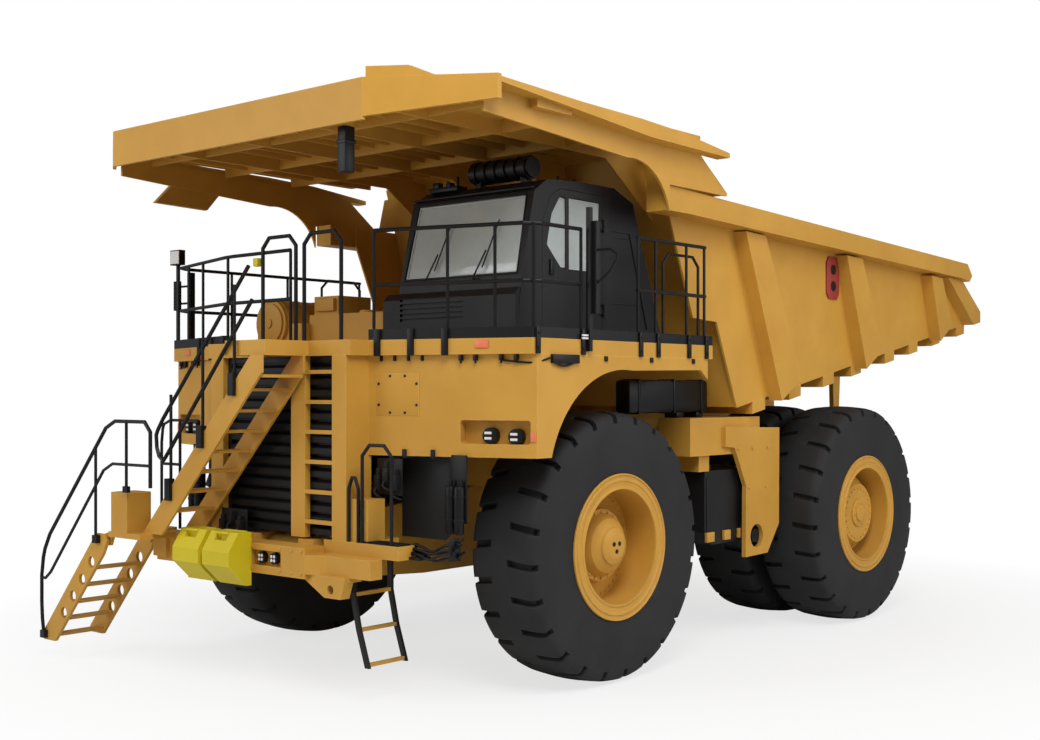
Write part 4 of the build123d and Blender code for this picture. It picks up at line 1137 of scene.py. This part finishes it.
def seat():
    stuffed(238, -2925, -2455, 4195, 4285, "seat_cushion", 0.014)
    stuffed(225, -2500, -2425, 4330, 4800, "seat_back", 0.012)
    stuffed(130, -2490, -2430, 4850, 4955, "head_rest", 0.01)
    base = settle(seat_frame(), "seat_frame", seat_cloth)
    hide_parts("cab_seat")
    stand = settle(cab_console(), "cab_console", cab_black)
    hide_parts("cab_seat")
    settle(steering_wheel(), "steering_wheel", cab_black)


def on_screen(x, rise, out=0):
    """A place on the windscreen: across the truck, up the glass and out from it."""
    y = SCREEN_FOOT_Y + rise * SCREEN_LEAN - out * SCREEN_RISE
    return (x, y, SCREEN_FOOT_Z + rise * SCREEN_RISE + out * SCREEN_LEAN)


def loop_round(x, pane, radius, inset):
    """A rubber seal round a side window, a little inside its edge."""
    middle_y = sum(y for y, z in pane) / len(pane)
    middle_z = sum(z for y, z in pane) / len(pane)
    line = []
    for y, z in pane + pane[:1]:
        dy, dz = middle_y - y, middle_z - z
        far = math.hypot(dy, dz)
        line.append((x, y + dy * inset / far, z + dz * inset / far))
    return pipe(line, radius, curved=False)


def wipers():
    arms = []
    for x, top in ((1050, 1290), (1780, 2020)):
        arms.append(rod(on_screen(x, -20, 22), on_screen(x, -20, 60), 22, sides=18))
        arms.append(rod(on_screen(x, -15, 46), on_screen((x + top) / 2, 300, 30), 9, sides=12, edge=0))
        arms.append(rod(on_screen(x + 90, 110, 18), on_screen(top, 640, 18), 8, sides=12, edge=0))
    return arms


def windows():
    seal = pipe([on_screen(x, rise, -2) for x, rise in SCREEN_EDGE], 14, curved=False)
    settle([seal], "screen_seal", rail_black)
    border = pipe([on_screen(x, rise, -14) for x, rise in SCREEN_BORDER], 11, curved=False)
    settle([border], "screen_border", seal_grey)
    rubber = [loop_round(2440, pane, 9, 6) for pane in SIDE_PANES]
    settle(rubber, "door_window_seals", rail_black, "cab_door")
    pale = [loop_round(2434, pane, 8, 24) for pane in SIDE_PANES]
    settle(pale, "door_window_borders", seal_grey, "cab_door")
    settle([loop_round(612, pane, 9, 6) for pane in SIDE_PANES], "right_window_seals", rail_black)
    settle(wipers(), "wipers", rail_black)
    handle = [
        block(2448, 2470, -3300, -3240, 4430, 4600, 8),
        rod((2466, -3268, 4450), (2466, -3268, 4575), 9, sides=12),
    ]
    settle(handle, "door_handle", rail_black, "cab_door")


def roof_fittings():
    fittings = [
        block(720, 1180, -3420, -3250, 5440, 5500, 14),
        block(760, 860, -3400, -3320, 5490, 5560, 12),
        block(960, 1040, -3390, -3310, 5490, 5550, 12),
        rod((1110, -3340, 5490), (1110, -3340, 5610), 16),
        rod((900, -3290, 5490), (900, -3290, 5585), 12, sides=12),
        rod((2290, -2980, 5470), (2290, -2980, 5545), 14, sides=12),
        rod((2290, -2700, 5480), (2290, -2700, 5540), 20, sides=12),
        block(620, 2430, -3560, -3520, 5336, 5360, 8),
        bolts_at([(x, -3240, 5520) for x in (1328, 2008)], (0, -1, 0), 10),
    ]
    settle(fittings, "roof_fittings", rail_black)
    panel = []
    for z in (4180, 4930):
        panel.append(block(2436, 2444, -2225, -1640 - (z - 4180) // 3, z, z + 10, 2))
    for y in (-2140, -2060, -1980):
        panel.append(block(2449, 2456, y, y + 34, 3790, 3885, 3))
    panel.append(block(2449, 2458, -1900, -1880, 3780, 3890, 3))
    settle(panel, "cabinet_trim", cab_black)


# Deck: feet of the rails, clips and lines under the deck edge, air cleaner bands

DECK_TOP_Z = 3722
EDGE_FOOT_Z, EDGE_TOP_Z = 3560, 3830
CLIP_TOP_Z = 3556
CLEANER_X, CLEANER_Z = -1540, 4010


def rail_feet(side):
    feet = []
    for y in (-4180, -3480, -2500, -2180, -1590, -1240) if side > 0 else (-4180, -3400, -2500, -1240):
        feet.append(block(side * 3062, side * 3086, y - 30, y + 30, EDGE_FOOT_Z, EDGE_TOP_Z, 5))
        for z in (3620, 3770):
            feet.append(rod((side * 3080, y, z), (side * 3096, y, z), 16, sides=6))
    for x, y in ((side * 2100, -4470), (side * 2620, -4320), (side * 1260, -4710)):
        feet.append(block(x - 28, x + 28, y - 28, y + 28, DECK_TOP_Z, DECK_TOP_Z + 23, 4))
    for x, y in ((side * 1330, -4722), (side * 1720, -4617), (side * 2110, -4513)):
        foot = block(x - 36, x + 36, y - 24, y + 6, EDGE_FOOT_Z - 10, EDGE_TOP_Z, 5)
        feet.append(swing(foot, x, y, side * FENDER_TURN))
    return feet


def deck_edge_lines(side):
    lines = []
    for x in (1320, 1480, 1640, 1800):
        y = -4660 + (x - 1160) * 0.263 - 30
        lines.append(block(side * x - 16, side * x + 16, y - 26, y + 14, 3500, CLIP_TOP_Z, 5))
    for x in (2260, 2420, 2700, 2860):
        y = -4440 + (x - 2150) * 0.2857 - 26
        lines.append(block(side * x - 20, side * x + 20, y - 24, y + 14, 3496, CLIP_TOP_Z, 5))
        lines.append(rod((side * x, y - 6, 3470), (side * x, y - 6, 3500), 11, sides=12))
    for y in (-3100, -2300, -1500):
        lines.append(block(side * 3058, side * 3078, y - 24, y + 24, 3500, CLIP_TOP_Z, 5))
    lines.append(block(side * 3056, side * 3096, -3980, -3560, 3470, 3560, 8))
    for run, radius in (
        (((3078, -3960, 3490), (3086, -3850, 3440), (3084, -3700, 3450), (3076, -3580, 3500)), 13),
        (((3070, -4000, 3520), (3060, -4160, 3470), (2900, -4250, 3475), (2700, -4300, 3500)), 11),
    ):
        lines.append(pipe([(side * x, y, z) for x, y, z in run], radius))
    return lines


def air_cleaner_bands():
    bands = []
    for y0, y1, radius, sides, edge in (
        (-3860, -3814, 292, 48, 5),
        (-3560, -3514, 292, 48, 5),
        (-3260, -3214, 292, 48, 5),
        (-3925, -3895, 240, 48, 8),
        (-3945, -3920, 60, 24, 6),
    ):
        bands.append(rod((CLEANER_X, y0, CLEANER_Z), (CLEANER_X, y1, CLEANER_Z), radius, sides, edge))
    return bands


def deck_fittings():
    mirrored(rail_feet, "rail_feet", rail_black)
    mirrored(deck_edge_lines, "deck_edge_lines", rail_black)
    lamp = [block(3088, 3108, -3530, -3440, z, z + 20, 4) for z in (DECK_TOP_Z, DECK_TOP_Z + 30)]
    settle(lamp, "step_lamp", lamp_lens)
    settle([block(-400, -320, -5000, -4930, 4560, 4650, 10)], "gate_handle", chock_yellow)
    settle(air_cleaner_bands(), "air_cleaner_bands", sandy_yellow)
    fittings = [
        block(-900, -560, -3745, -3690, 4140, 4290, 10),
        rod((-300, -3420, 4098), (-300, -3420, 4150), 110, sides=32, edge=8),
        rod((60, -3420, 4098), (60, -3420, 4135), 80, sides=32, edge=8),
    ]
    settle(fittings, "deck_box_fittings", sandy_yellow)


def underneath():
    """The drive shaft from the gearbox to the rear axle, with its two flanges."""
    shaft = [
        rod((0, -1100, 1560), (0, 2050, 1490), 70, sides=28, edge=4),
        rod((0, -1180, 1562), (0, -1060, 1559), 130, sides=28, edge=10),
        rod((0, 1960, 1492), (0, 2080, 1489), 130, sides=28, edge=10),
    ]
    settle(shaft, "drive_shaft", engine_iron)


def dress_cad():
    """Gives each node of the CAD its slot's finish, or a finish of its own."""
    own = {
        "cab_shell": cab_black,
        "cab_door": cab_black,
        "cab_base": cab_black,
        "side_tanks": chassis_black,
        "access_ladders": partly_black("ladder_paint", (0.012, 0.012, 0.013), ladder_straps),
        "lower_platform": partly_black("platform_paint", (0.007, 0.007, 0.0075), hand_loops),
    }
    for row in frame["record"]["subparts"]:
        node = CAD[row["node"]]
        finish_of = own.get(row["node"], FINISHES[row["material_slot"]])
        if not node.material_slots:
            node.data.materials.append(finish_of)
        for place in node.material_slots:
            place.material = finish_of


dress_cad()
wheels()
fenders()
bumper()
under_front()
middle()
dump_body()
seat()
windows()
roof_fittings()
deck_fittings()
underneath()
studio()
white_world()
pale_floor()
